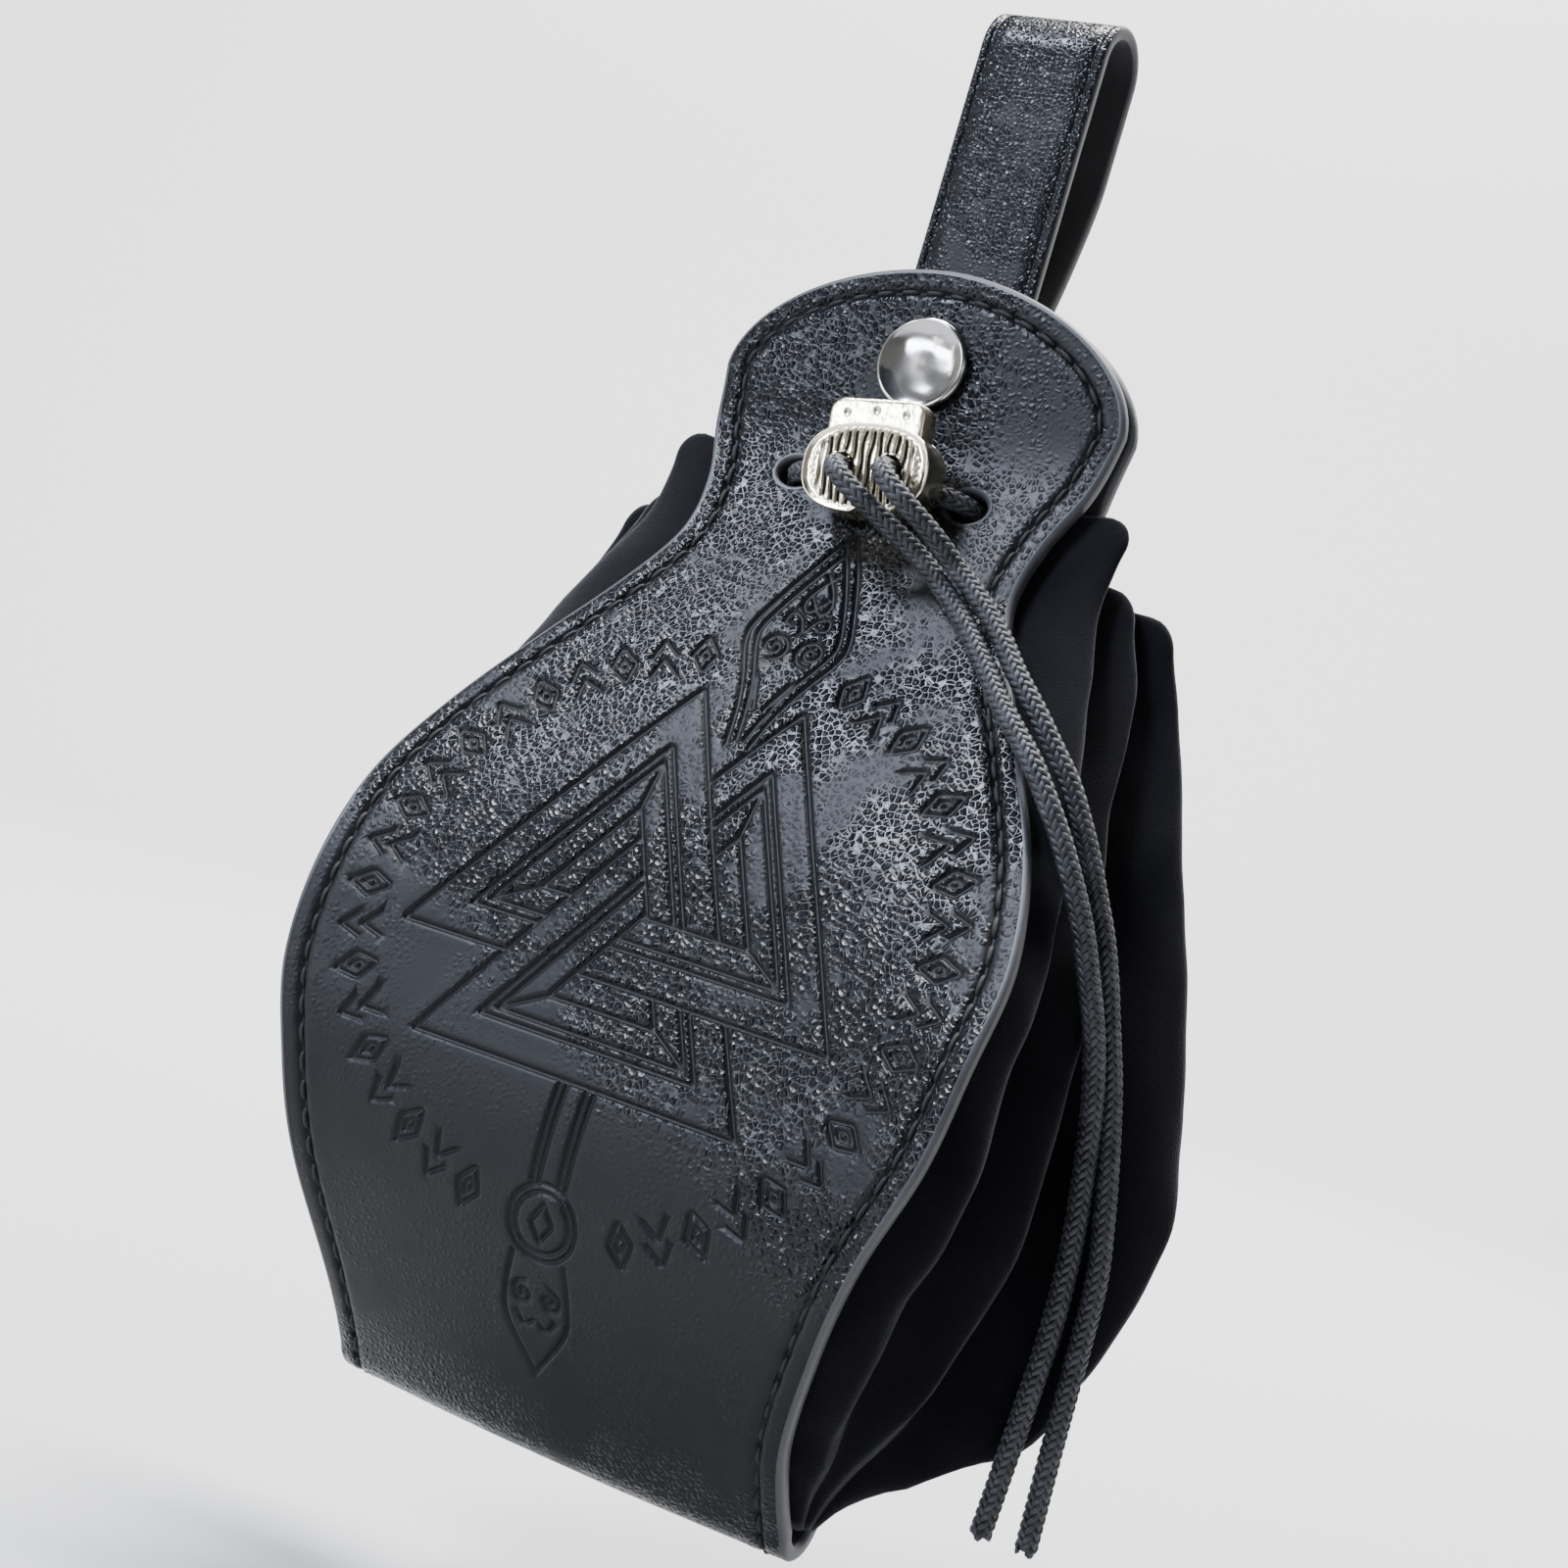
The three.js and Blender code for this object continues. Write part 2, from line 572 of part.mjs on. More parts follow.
// Plate with its outline seen from the side, across the middle
function sidePlate(shape, width) {
  const geometry = new THREE.ExtrudeGeometry(shape, {
    depth: width, bevelEnabled: false, curveSegments: 9, steps: 1,
  });
  const turn = new THREE.Matrix4().makeBasis(
    new THREE.Vector3(0, 1, 0),
    new THREE.Vector3(0, 0, 1),
    new THREE.Vector3(1, 0, 0),
  );
  geometry.applyMatrix4(turn);
  geometry.translate(-width / 2, 0, 0);
  return geometry;
}

// Belt loop: one strap turned over at the top, its ends lying on each other behind the stud
function beltLoop() {
  const frontY = -LOOP_GAP / 2 - STRAP;
  const arcZ = -LOOP_GAP / 2;
  const jointZ = headTopZ - STUD_DROP + POST_FLANGE_RADIUS + SEAT;
  const tailZ = studZ - LOOP_TAIL;
  const openAt = (k) => LOOP_GAP * smooth(LOOP_ROWS, 'down', 'open', k / LEG_STEPS);
  const legZ = (k) => THREE.MathUtils.lerp(arcZ, jointZ, k / LEG_STEPS);
  const innerFront = frontY + STRAP;
  const outline = new THREE.Shape();
  outline.moveTo(frontY, tailZ);
  outline.lineTo(frontY, arcZ);
  outline.absarc(0, arcZ, LOOP_GAP / 2 + STRAP, Math.PI, 0, true);
  for (let k = 1; k <= LEG_STEPS; k += 1) outline.lineTo(innerFront + openAt(k) + STRAP, legZ(k));
  outline.lineTo(innerFront + openAt(LEG_STEPS) + STRAP, tailZ);
  outline.closePath();
  const opening = new THREE.Path();
  opening.moveTo(innerFront, jointZ);
  for (let k = LEG_STEPS; k >= 1; k -= 1) opening.lineTo(innerFront + openAt(k), legZ(k));
  opening.absarc(0, arcZ, LOOP_GAP / 2, 0, Math.PI, false);
  opening.closePath();
  outline.holes.push(opening);
  const geometry = sidePlate(outline, STRAP_WIDTH);
  const hole = turnedCylinder(POST_RADIUS + SEAT, 8 * STRAP, HOLE_SIDES);
  hole.translate(0, (frontY + innerFront) / 2, studZ);
  return toManifold(geometry).subtract(toManifold(hole));
}

// Round part turned about the stud's axis, which runs front to back
function turned(profile, sides) {
  const points = profile.map(([radius, y]) => new THREE.Vector2(radius, y));
  const geometry = new THREE.LatheGeometry(points, sides);
  geometry.translate(0, 0, studZ);
  return toManifold(geometry);
}

const gapFrontY = headFrontY + LEATHER;
const loopBackY = -LOOP_GAP / 2 + LOOP_GAP * LOOP_ROWS[LOOP_ROWS.length - 1].open + STRAP;

// Dished cap with a rolled rim, and the socket behind it that passes through the front leather
function studCap() {
  const back = headFrontY - SEAT;
  const flange = gapFrontY + SEAT;
  return turned([
    ...CAP_PROFILE.map((row) => [row.radius * CAP_RADIUS, back - row.out * CAP_HEIGHT]),
    [SOCKET_RADIUS, back], [SOCKET_RADIUS, flange], [SOCKET_FLANGE_RADIUS, flange],
    [SOCKET_FLANGE_RADIUS, flange + STUD_FLANGE], [SOCKET_BORE, flange + STUD_FLANGE],
    [SOCKET_BORE, headFrontY + SEAT], [0, headFrontY + SEAT],
  ], CAP_SIDES);
}

// Stud that snaps into the socket, and its post through the back leather and the belt loop
function studPost() {
  const nose = SOCKET_BORE - SEAT;
  const flange = gapFrontY + SEAT + STUD_FLANGE + SEAT;
  const rear = loopBackY + SEAT;
  return turned([
    [0, headFrontY + 2 * SEAT], [nose * 0.7, headFrontY + 2 * SEAT], [nose, headFrontY + 3 * SEAT],
    [nose, flange], [SOCKET_FLANGE_RADIUS, flange],
    [SOCKET_FLANGE_RADIUS, gapFrontY + HEAD_GAP - SEAT], [POST_RADIUS, gapFrontY + HEAD_GAP - SEAT],
    [POST_RADIUS, rear], [POST_FLANGE_RADIUS, rear], [POST_FLANGE_RADIUS, rear + POST_FLANGE * 0.5],
    [POST_FLANGE_RADIUS * 0.8, rear + POST_FLANGE], [0, rear + POST_FLANGE],
  ], POST_SIDES);
}

const lockMiddle = {
  x: LOCK_SIDE,
  y: slotFace.y - LEATHER / 2 - CORD_DIAMETER - 2 * SEAT - LOCK_DEPTH / 2,
  z: (DRAWCORD_ROUTE[0][2] + DRAWCORD_ROUTE[DRAWCORD_ROUTE.length - 1][2]) / 2,
};
const holeRadius = CORD_DIAMETER / 2 + HOLE_CLEARANCE;
const stemHalf = HOLE_SPACING / 2 + holeRadius + BUTTON_RIM;
const buttonFoot = -holeRadius - BUTTON_RIM;
const buttonTop = LOCK_HEIGHT / 2 + BUTTON_RISE;
const shoulderZ = holeRadius + BUTTON_TRAVEL + SEAT;

// Barrel of the cord lock: an oval with a pocket for the button and two holes for the cord
function lockBody() {
  const oval = new THREE.Shape(Array.from({ length: OVAL_STEPS }, (_, k) => {
    const turn = (2 * Math.PI * k) / OVAL_STEPS;
    const round = (value) => Math.sign(value) * Math.abs(value) ** (2 / LOCK_ROUNDNESS);
    return new THREE.Vector2(
      (LOCK_WIDTH / 2) * round(Math.cos(turn)),
      (LOCK_HEIGHT / 2) * round(Math.sin(turn)),
    );
  }));
  const pocket = new THREE.Shape();
  const floor = buttonFoot - BUTTON_TRAVEL - SEAT;
  const [narrow, wide] = [stemHalf + SEAT, BUTTON_WIDTH / 2 + SEAT];
  const ledge = shoulderZ - BUTTON_TRAVEL - SEAT;
  pocket.moveTo(-narrow, floor);
  pocket.lineTo(narrow, floor);
  pocket.lineTo(narrow, ledge);
  pocket.lineTo(wide, ledge);
  pocket.lineTo(wide, LOCK_HEIGHT);
  pocket.lineTo(-wide, LOCK_HEIGHT);
  pocket.lineTo(-wide, ledge);
  pocket.lineTo(-narrow, ledge);
  pocket.closePath();
  const front = -LOCK_DEPTH / 2;
  let solid = toManifold(frontPlate(oval, front, LOCK_DEPTH, LOCK_EDGE));
  solid = solid.subtract(toManifold(frontPlate(pocket, front + LOCK_WALL, LOCK_DEPTH - 2 * LOCK_WALL)));
  for (const side of [-1, 1]) {
    const hole = turnedCylinder(holeRadius, 2 * LOCK_DEPTH, CORD_HOLE_SIDES);
    hole.translate((side * HOLE_SPACING) / 2, 0, 0);
    solid = solid.subtract(toManifold(hole));
  }
  return solid;
}

// Sprung button: a wide head above the barrel, a stem inside it, two long holes for the cord
function lockButton() {
  const head = BUTTON_WIDTH / 2;
  const shape = new THREE.Shape();
  shape.moveTo(-stemHalf, buttonFoot);
  shape.lineTo(stemHalf, buttonFoot);
  shape.lineTo(stemHalf, shoulderZ);
  shape.lineTo(head, shoulderZ);
  shape.lineTo(head, buttonTop - BUTTON_CORNER);
  shape.quadraticCurveTo(head, buttonTop, head - BUTTON_CORNER, buttonTop);
  shape.lineTo(BUTTON_CORNER - head, buttonTop);
  shape.quadraticCurveTo(-head, buttonTop, -head, buttonTop - BUTTON_CORNER);
  shape.lineTo(-head, shoulderZ);
  shape.lineTo(-stemHalf, shoulderZ);
  shape.closePath();
  for (const side of [-1, 1]) {
    const hole = new THREE.Path();
    const x = (side * HOLE_SPACING) / 2;
    hole.absarc(x, BUTTON_TRAVEL, holeRadius, 0, Math.PI, false);
    hole.absarc(x, 0, holeRadius, Math.PI, 2 * Math.PI, false);
    hole.closePath();
    shape.holes.push(hole);
  }
  const thick = LOCK_DEPTH - 2 * LOCK_WALL - 2 * SEAT;
  return toManifold(frontPlate(shape, -thick / 2, thick));
}

// Finishes
const finish = (color, roughness, metalness) => (
  new THREE.MeshStandardMaterial({ color, roughness, metalness })
);
const leather = finish(0x22242b, 0.5, 0);
const velvet = finish(0x08080c, 0.95, 0);
const nickel = finish(0xb9b7b4, 0.15, 1);
const oldSilver = finish(0xcfc9b4, 0.3, 1);
const cord = finish(0x2b2c30, 0.8, 0);

function piece(name, geometry, material) {
  const mesh = new THREE.Mesh(geometry, material.clone());
  mesh.name = name;
  return mesh;
}

const pouch = new THREE.Group();
pouch.add(
  piece('leather_body', toGeometry(leatherBody()), leather),
  piece('gusset_right', toGeometry(gusset(1)), velvet),
  piece('gusset_left', toGeometry(gusset(-1)), velvet),
  piece('belt_loop', toGeometry(beltLoop()), leather),
  piece('stud_cap', toGeometry(studCap()), nickel),
  piece('stud_post', toGeometry(studPost()), nickel),
  piece('drawcord', cordPiece(DRAWCORD_ROUTE, DRAWCORD_STEPS), cord),
  piece('cord_end_left', cordPiece(LEFT_END_ROUTE, CORD_END_STEPS), cord),
  piece('cord_end_right', cordPiece(RIGHT_END_ROUTE, CORD_END_STEPS), cord),
);

// The lock leans a little on its cords
const lock = new THREE.Group();
lock.position.set(lockMiddle.x, lockMiddle.y, lockMiddle.z);
lock.rotation.y = -radians(LOCK_LEAN);
lock.add(
  piece('lock_body', toGeometry(lockBody()), oldSilver),
  piece('lock_button', toGeometry(lockButton()), oldSilver),
);
pouch.add(lock);

export default pouch;
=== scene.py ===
# %% [markdown]
# # A belt pouch of pebbled leather, velvet and metal
# The pouch hangs upright, as it is worn. Its origin is the inner top of the belt loop, where a belt
# would carry it: Z is up, Y points to the wearer. The solids of the pouch come ready made, in their
# true places. This lesson dresses them: each soft or small piece is built again with its real
# surface, and each piece gets a finish that is named for a real material.

# %% Load the solids
import math
import bpy
import numpy as np
from mathutils import Matrix, Vector, kdtree, noise
from mathutils.geometry import delaunay_2d_cdt


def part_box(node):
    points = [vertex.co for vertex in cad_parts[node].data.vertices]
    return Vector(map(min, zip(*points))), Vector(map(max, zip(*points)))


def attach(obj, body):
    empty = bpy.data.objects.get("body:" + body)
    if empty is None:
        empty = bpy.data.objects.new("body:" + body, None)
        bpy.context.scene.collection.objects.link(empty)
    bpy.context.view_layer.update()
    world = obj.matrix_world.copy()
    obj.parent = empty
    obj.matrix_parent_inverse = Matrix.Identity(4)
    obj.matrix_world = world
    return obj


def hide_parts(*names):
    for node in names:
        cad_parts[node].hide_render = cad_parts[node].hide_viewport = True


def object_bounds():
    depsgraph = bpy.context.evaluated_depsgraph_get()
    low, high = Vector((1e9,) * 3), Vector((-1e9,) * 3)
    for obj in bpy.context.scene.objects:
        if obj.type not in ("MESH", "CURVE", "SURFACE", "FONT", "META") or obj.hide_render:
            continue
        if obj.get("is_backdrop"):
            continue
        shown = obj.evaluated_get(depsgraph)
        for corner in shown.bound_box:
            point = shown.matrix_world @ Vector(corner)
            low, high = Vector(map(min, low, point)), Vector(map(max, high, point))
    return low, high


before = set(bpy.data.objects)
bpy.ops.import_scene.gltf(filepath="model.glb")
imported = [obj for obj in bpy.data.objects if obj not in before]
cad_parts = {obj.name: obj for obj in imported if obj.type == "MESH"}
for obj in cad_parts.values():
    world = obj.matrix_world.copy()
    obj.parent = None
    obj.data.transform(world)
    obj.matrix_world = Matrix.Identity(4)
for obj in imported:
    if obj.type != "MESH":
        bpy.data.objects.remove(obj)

solid_low, solid_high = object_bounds()
print("solids span, mm:", [round(1000 * (b - a), 1) for a, b in zip(solid_low, solid_high)])

# %% [markdown]
# ## Camera
# The camera stands a little to the right of the pouch and level with it, and is rolled, so that the
# pouch leans in the picture while it hangs straight. The three directions are the picture's right,
# its up, and the way back to the camera. A lens of 57 mm on a 36 mm sensor gives the perspective.

# %% Place the camera
CAMERA_PLACE = (0.17777, -0.35466, -0.13661)
PICTURE_RIGHT = (0.84988, 0.44463, 0.28287)
PICTURE_UP = (-0.23914, -0.15292, 0.95887)
PICTURE_BACK = (0.4696, -0.88256, -0.02363)
camera_data = bpy.data.cameras.new("camera")
camera_data.sensor_width = 36.0
camera_data.lens = 57.474
camera_data.clip_start = 0.01
camera = bpy.data.objects.new("camera", camera_data)
turn = Matrix((PICTURE_RIGHT, PICTURE_UP, PICTURE_BACK)).transposed().normalized()
camera.matrix_world = Matrix.Translation(CAMERA_PLACE) @ turn.to_4x4()
bpy.context.scene.collection.objects.link(camera)
bpy.context.scene.camera = camera
print("camera at", CAMERA_PLACE)

# %% [markdown]
# ## Helpers
# Sizes in the tables are millimetres, as on a maker's drawing, and Blender works in metres. A piece
# is a mesh made from arrays of points and faces. It rides on one of the two rigid bodies, the pouch
# or the button of the cord lock, stands for the plain solid that it replaces, and carries its
# finishes.

# %% Mesh helpers
MM = 0.001


def make_piece(name, points, faces, finishes, which=None, body="pouch", solid=()):
    """Makes a smooth mesh piece; which gives each face the number of its finish."""
    mesh = bpy.data.meshes.new(name)
    mesh.from_pydata(np.asarray(points, float).tolist(), [], [list(map(int, f)) for f in faces])
    for finish in finishes:
        mesh.materials.append(finish)
    if which is not None:
        mesh.polygons.foreach_set("material_index", np.asarray(which, np.int32))
    mesh.polygons.foreach_set("use_smooth", [True] * len(mesh.polygons))
    mesh.validate()
    mesh.update()
    piece = bpy.data.objects.new(name, mesh)
    bpy.context.scene.collection.objects.link(piece)
    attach(piece, body)
    if solid:
        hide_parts(*solid)
    triangles = sum(len(p.vertices) - 2 for p in mesh.polygons)
    print(name, "-", len(mesh.vertices), "points,", triangles, "triangles")
    return piece


def keep_value(piece, name, values):
    """Keeps one number per point on the mesh, for a finish to read."""
    layer = piece.data.attributes.new(name, "FLOAT", "POINT")
    layer.data.foreach_set("value", np.asarray(values, np.float32))


def wrap_grid(rows, columns, close_columns=True, first=0):
    """Four-cornered faces of a grid of points that is closed round its columns."""
    wide = columns if close_columns else columns - 1
    r, c = np.meshgrid(np.arange(rows - 1), np.arange(wide))
    r, c = r.T.ravel() * columns, c.T.ravel()
    after = (c + 1) % columns
    return np.stack([r + c, r + after, r + columns + after, r + columns + c], 1) + first


def tube_faces(rings, sides, first=0):
    """Faces of a tube made of rings of points, with a cap on each end."""
    last = first + (rings - 1) * sides
    return (wrap_grid(rings, sides, first=first).tolist()
            + [[first + k for k in range(sides)][::-1], [last + k for k in range(sides)]])


def unit(vectors):
    """Vectors of length 1 in the same directions."""
    return vectors / np.linalg.norm(vectors, axis=-1)[..., None]


def way_along(line):
    """Distance walked along a line at each of its points."""
    return np.concatenate([[0], np.cumsum(np.linalg.norm(np.diff(line, axis=0), axis=1))])


def at_way(line, places):
    """Points of a line at given distances along it."""
    way = way_along(line)
    return np.stack([np.interp(places, way, line[:, k]) for k in range(line.shape[1])], 1)


def closed_line(loop):
    """Loop of points that ends on its first point again."""
    return np.vstack([loop, loop[:1]])


# %% [markdown]
# ## Finishes
# Colours are written as the hex values that a colour picker shows, and turned to the linear values
# that the shader needs. One small function adds a node with its settings: a number or colour fills
# a socket, and another node's socket is linked to it. Every pattern is scaled from a real size in
# millimetres and lies in the piece's own coordinates, so it never slides.

# %% Colour and node helpers
def paint(code):
    """Linear colour of an sRGB hex value."""
    parts = [int(code[k:k + 2], 16) / 255 for k in (1, 3, 5)]
    return [p / 12.92 if p <= 0.04045 else ((p + 0.055) / 1.055) ** 2.4 for p in parts] + [1.0]


def add(finish, kind, settings=(), **sockets):
    """Adds a shader node; a socket's name is written with _ for its spaces."""
    tree = finish.node_tree
    node = tree.nodes.new("ShaderNode" + kind)
    for name, value in dict(settings).items():
        setattr(node, name, value)
    for name, value in sockets.items():
        name = name.replace("_", " ")
        socket = node.inputs[int(name[3:])] if name.startswith("in ") else node.inputs[name]
        if isinstance(value, bpy.types.NodeSocket):
            tree.links.new(value, socket)
        else:
            socket.default_value = value
    return node


def new_finish(name):
    """Empty finish with its surface shader and output."""
    finish = bpy.data.materials.new(name)
    finish.use_nodes = True
    finish.node_tree.nodes.clear()
    surface = add(finish, "BsdfPrincipled")
    add(finish, "OutputMaterial", Surface=surface.outputs["BSDF"])
    return finish, surface


def feed(finish, surface, **sockets):
    """Fills or links the sockets of a surface shader."""
    for name, value in sockets.items():
        socket = surface.inputs[name.replace("_", " ")]
        if isinstance(value, bpy.types.NodeSocket):
            finish.node_tree.links.new(value, socket)
        else:
            socket.default_value = value


def per_metre(size_mm):
    """Scale of a pattern whose cells are this many millimetres wide."""
    return 1000.0 / size_mm


# %% [markdown]
# ### Pebbled leather
# The body is dark leather that was coated and then plated with a pebbled grain. The grain is a
# crowd of rounded cells about 1 mm wide with thin valleys between them, so the light breaks into
# bright specks. The base colour is painted lighter on the cell tops and darker in the valleys
# between them, which is painted shade. Where the hide was pressed harder, the cells flatten into
# smooth dark islands. The tooled grooves, and places low on the front and at the right of the
# neck, get the flat grain and the dark valley colour too. In the grooves and low on the front,
# where the panel turns down from the light, this dark colour is painted shade. The point value
# "pressed" marks those places.

# %% Pebbled leather
GRAIN = 1.05
ISLANDS = 17.0


def pebbled_leather(name, grain=GRAIN, dark="#06070a", light="#14161d", island_cut=0.46,
                    depth=0.00038):
    """Coated leather with a plated pebble grain."""
    finish, surface = new_finish(name)
    place = add(finish, "TexCoord").outputs["Object"]
    drift = add(finish, "TexNoise", Vector=place, Scale=per_metre(grain * 1.9), Detail=2.0)
    nudge = add(finish, "VectorMath", {"operation": "MULTIPLY_ADD"}, in_0=drift.outputs["Color"],
                in_1=(grain * MM * 0.6,) * 3, in_2=place)
    cells = add(finish, "TexVoronoi", {"feature": "DISTANCE_TO_EDGE"},
                Vector=nudge.outputs["Vector"], Scale=per_metre(grain), Randomness=0.95)
    dome = add(finish, "MapRange", {"interpolation_type": "SMOOTHERSTEP"},
               Value=cells.outputs["Distance"], From_Min=0.0, From_Max=0.5)
    islands = add(finish, "TexNoise", Vector=place, Scale=per_metre(ISLANDS), Detail=5.0,
                  Roughness=0.62)
    open_grain = add(finish, "MapRange", {"interpolation_type": "SMOOTHSTEP"},
                     Value=islands.outputs["Fac"], From_Min=island_cut - 0.09,
                     From_Max=island_cut + 0.06, To_Min=0.16, To_Max=1.0)
    # Where the point value "pressed" is high, the grain is flattened and the colour goes to the
    # dark valley tone. In the tooled grooves and low on the front this is painted shade.
    pressed = add(finish, "Attribute", {"attribute_name": "pressed"})
    kept = add(finish, "MapRange", Value=pressed.outputs["Fac"], From_Min=0.1, From_Max=0.6,
               To_Min=1.0, To_Max=0.08)
    amount = add(finish, "Math", {"operation": "MULTIPLY"}, in_0=open_grain.outputs[0],
                 in_1=kept.outputs[0])
    height = add(finish, "Math", {"operation": "MULTIPLY"}, in_0=dome.outputs[0],
                 in_1=amount.outputs[0])
    fine = add(finish, "TexNoise", Vector=place, Scale=per_metre(0.25), Detail=3.0)
    skin = add(finish, "Bump", Strength=0.15, Distance=0.00003, Height=fine.outputs["Fac"])
    pebble = add(finish, "Bump", Strength=1.0, Distance=depth, Height=height.outputs[0],
                 Normal=skin.outputs["Normal"])
    # Painted shade: the base colour follows the pebble height. It is light on the cell tops and
    # dark in the valleys, the grooves and the flattened places.
    tone = add(finish, "Mix", {"data_type": "RGBA"}, Factor=height.outputs[0],
               in_6=paint(dark), in_7=paint(light))
    gloss = add(finish, "MapRange", Value=amount.outputs[0], To_Min=0.52, To_Max=0.27)
    feed(finish, surface, Base_Color=tone.outputs[2], Roughness=gloss.outputs[0],
         Normal=pebble.outputs["Normal"], Specular_IOR_Level=0.2)
    return finish


leather = pebbled_leather("pebbled_leather_black")

# %% [markdown]
# ### Leather edge, flesh side and strap
# The cut edge is burnished and painted, so it is smooth, a little lighter and duller than the
# grain. The flesh side is fibrous and takes almost no light. The strap is plainer leather with a
# finer and flatter grain.

# %% Edge, flesh side and strap
def burnished_edge(name):
    """Edge paint over burnished fibres: smooth and slightly worn by rubbing."""
    finish, surface = new_finish(name)
    place = add(finish, "TexCoord").outputs["Object"]
    rub = add(finish, "TexNoise", Vector=place, Scale=per_metre(3.0), Detail=4.0)
    tone = add(finish, "Mix", {"data_type": "RGBA"}, Factor=rub.outputs["Fac"],
               in_6=paint("#1a1b1e"), in_7=paint("#303136"))
    lumps = add(finish, "TexNoise", Vector=place, Scale=per_metre(0.6), Detail=3.0)
    bump = add(finish, "Bump", Strength=0.35, Distance=0.00006, Height=lumps.outputs["Fac"])
    feed(finish, surface, Base_Color=tone.outputs[2], Roughness=0.5, Normal=bump.outputs["Normal"])
    return finish


def flesh_side(name):
    """Raw back of the leather: matt and fibrous."""
    finish, surface = new_finish(name)
    place = add(finish, "TexCoord").outputs["Object"]
    fibres = add(finish, "TexNoise", Vector=place, Scale=per_metre(0.4), Detail=6.0, Roughness=0.75)
    tone = add(finish, "Mix", {"data_type": "RGBA"}, Factor=fibres.outputs["Fac"],
               in_6=paint("#0a0a0c"), in_7=paint("#1d1d20"))
    bump = add(finish, "Bump", Strength=0.8, Distance=0.00015, Height=fibres.outputs["Fac"])
    feed(finish, surface, Base_Color=tone.outputs[2], Roughness=0.9, Sheen_Weight=0.06,
         Normal=bump.outputs["Normal"])
    return finish


edge = burnished_edge("burnished_leather_edge")
flesh = flesh_side("leather_flesh_side")
strap_leather = pebbled_leather("strap_leather_black", grain=0.75, dark="#07080b", light="#14161c",
                                island_cut=0.42, depth=0.00014)

# %% [markdown]
# ### Velvet
# The sides are cotton velvet with a short pile. Pile swallows the light that comes straight at it
# and shines only at grazing angles, so the folds read as thin grey ridges on black. The sheen layer
# of the shader is made for this. Pile about 0.3 mm thick is drawn by a fine bump.

# %% Velvet
velvet, surface = new_finish("cotton_velvet_black")
place = add(velvet, "TexCoord").outputs["Object"]
pile = add(velvet, "TexNoise", Vector=place, Scale=per_metre(0.3), Detail=3.0, Roughness=0.7)
brushed = add(velvet, "TexNoise", Vector=place, Scale=per_metre(9.0), Detail=5.0, Roughness=0.6)
nap = add(velvet, "Mix", {"data_type": "RGBA"}, Factor=brushed.outputs["Fac"],
          in_6=paint("#020204"), in_7=paint("#0b0b10"))
tufts = add(velvet, "Bump", Strength=0.9, Distance=0.00018, Height=pile.outputs["Fac"])
feed(velvet, surface, Base_Color=nap.outputs[2], Roughness=0.95, Specular_IOR_Level=0.1,
     Sheen_Weight=0.4, Sheen_Roughness=0.3, Sheen_Tint=paint("#9a9aa6"),
     Normal=tufts.outputs["Normal"])
print("velvet pile 0.3 mm")

# %% [markdown]
# ### Thread and cord
# The stitches are waxed polyester thread. The cord is a braid of waxed yarn: its strands are built
# as geometry, and the finish adds the fine filaments, 0.2 mm apart, and a dusty wax bloom.

# %% Thread and cord
def waxed_yarn(name, dark, light, filament, roughness):
    """Waxed yarn: fine filaments with a slightly dusty bloom."""
    finish, surface = new_finish(name)
    place = add(finish, "TexCoord").outputs["Object"]
    threads = add(finish, "TexNoise", Vector=place, Scale=per_metre(filament), Detail=4.0,
                  Roughness=0.8)
    bloom = add(finish, "TexNoise", Vector=place, Scale=per_metre(2.2), Detail=4.0)
    mixed = add(finish, "Math", {"operation": "MULTIPLY"}, in_0=threads.outputs["Fac"],
                in_1=bloom.outputs["Fac"])
    share = add(finish, "MapRange", Value=mixed.outputs[0], From_Min=0.12, From_Max=0.45)
    tone = add(finish, "Mix", {"data_type": "RGBA"}, Factor=share.outputs[0],
               in_6=paint(dark), in_7=paint(light))
    bump = add(finish, "Bump", Strength=0.8, Distance=0.00006, Height=threads.outputs["Fac"])
    feed(finish, surface, Base_Color=tone.outputs[2], Roughness=roughness, Specular_IOR_Level=0.35,
         Normal=bump.outputs["Normal"])
    return finish


thread = waxed_yarn("waxed_polyester_thread", "#030304", "#0c0c0e", 0.15, 0.7)
cord_yarn = waxed_yarn("waxed_braid_yarn", "#040405", "#3a3c42", 0.2, 0.5)

# %% [markdown]
# ### Metal
# The stud's cap is steel plated with bright nickel and pressed into a shallow dish. The pressing
# leaves slow waves and the polishing fine hair lines. The cord lock is cast zinc alloy with an
# old-silver finish: it was plated, blackened in its grooves and polished again on its high places,
# so it is warm and bright on top and dark below. The point value "groove" says how deep a place
# lies.

# %% Metal
def bright_nickel(name):
    """Polished nickel plate with faint hair lines and slow waves from pressing."""
    finish, surface = new_finish(name)
    place = add(finish, "TexCoord").outputs["Object"]
    smear = add(finish, "TexNoise", Vector=place, Scale=per_metre(4.0), Detail=4.0)
    shine = add(finish, "MapRange", Value=smear.outputs["Fac"], To_Min=0.05, To_Max=0.22)
    hair = add(finish, "TexNoise", Vector=place, Scale=per_metre(0.35), Detail=2.0)
    bump = add(finish, "Bump", Strength=0.12, Distance=0.00002, Height=hair.outputs["Fac"])
    waves = add(finish, "TexNoise", Vector=place, Scale=per_metre(7.5), Detail=0.5)
    spun = add(finish, "Bump", Strength=1.0, Distance=0.0011, Height=waves.outputs["Fac"],
               Normal=bump.outputs["Normal"])
    feed(finish, surface, Base_Color=paint("#a8a6a3"), Metallic=1.0, Roughness=shine.outputs[0],
         Normal=spun.outputs["Normal"])
    return finish


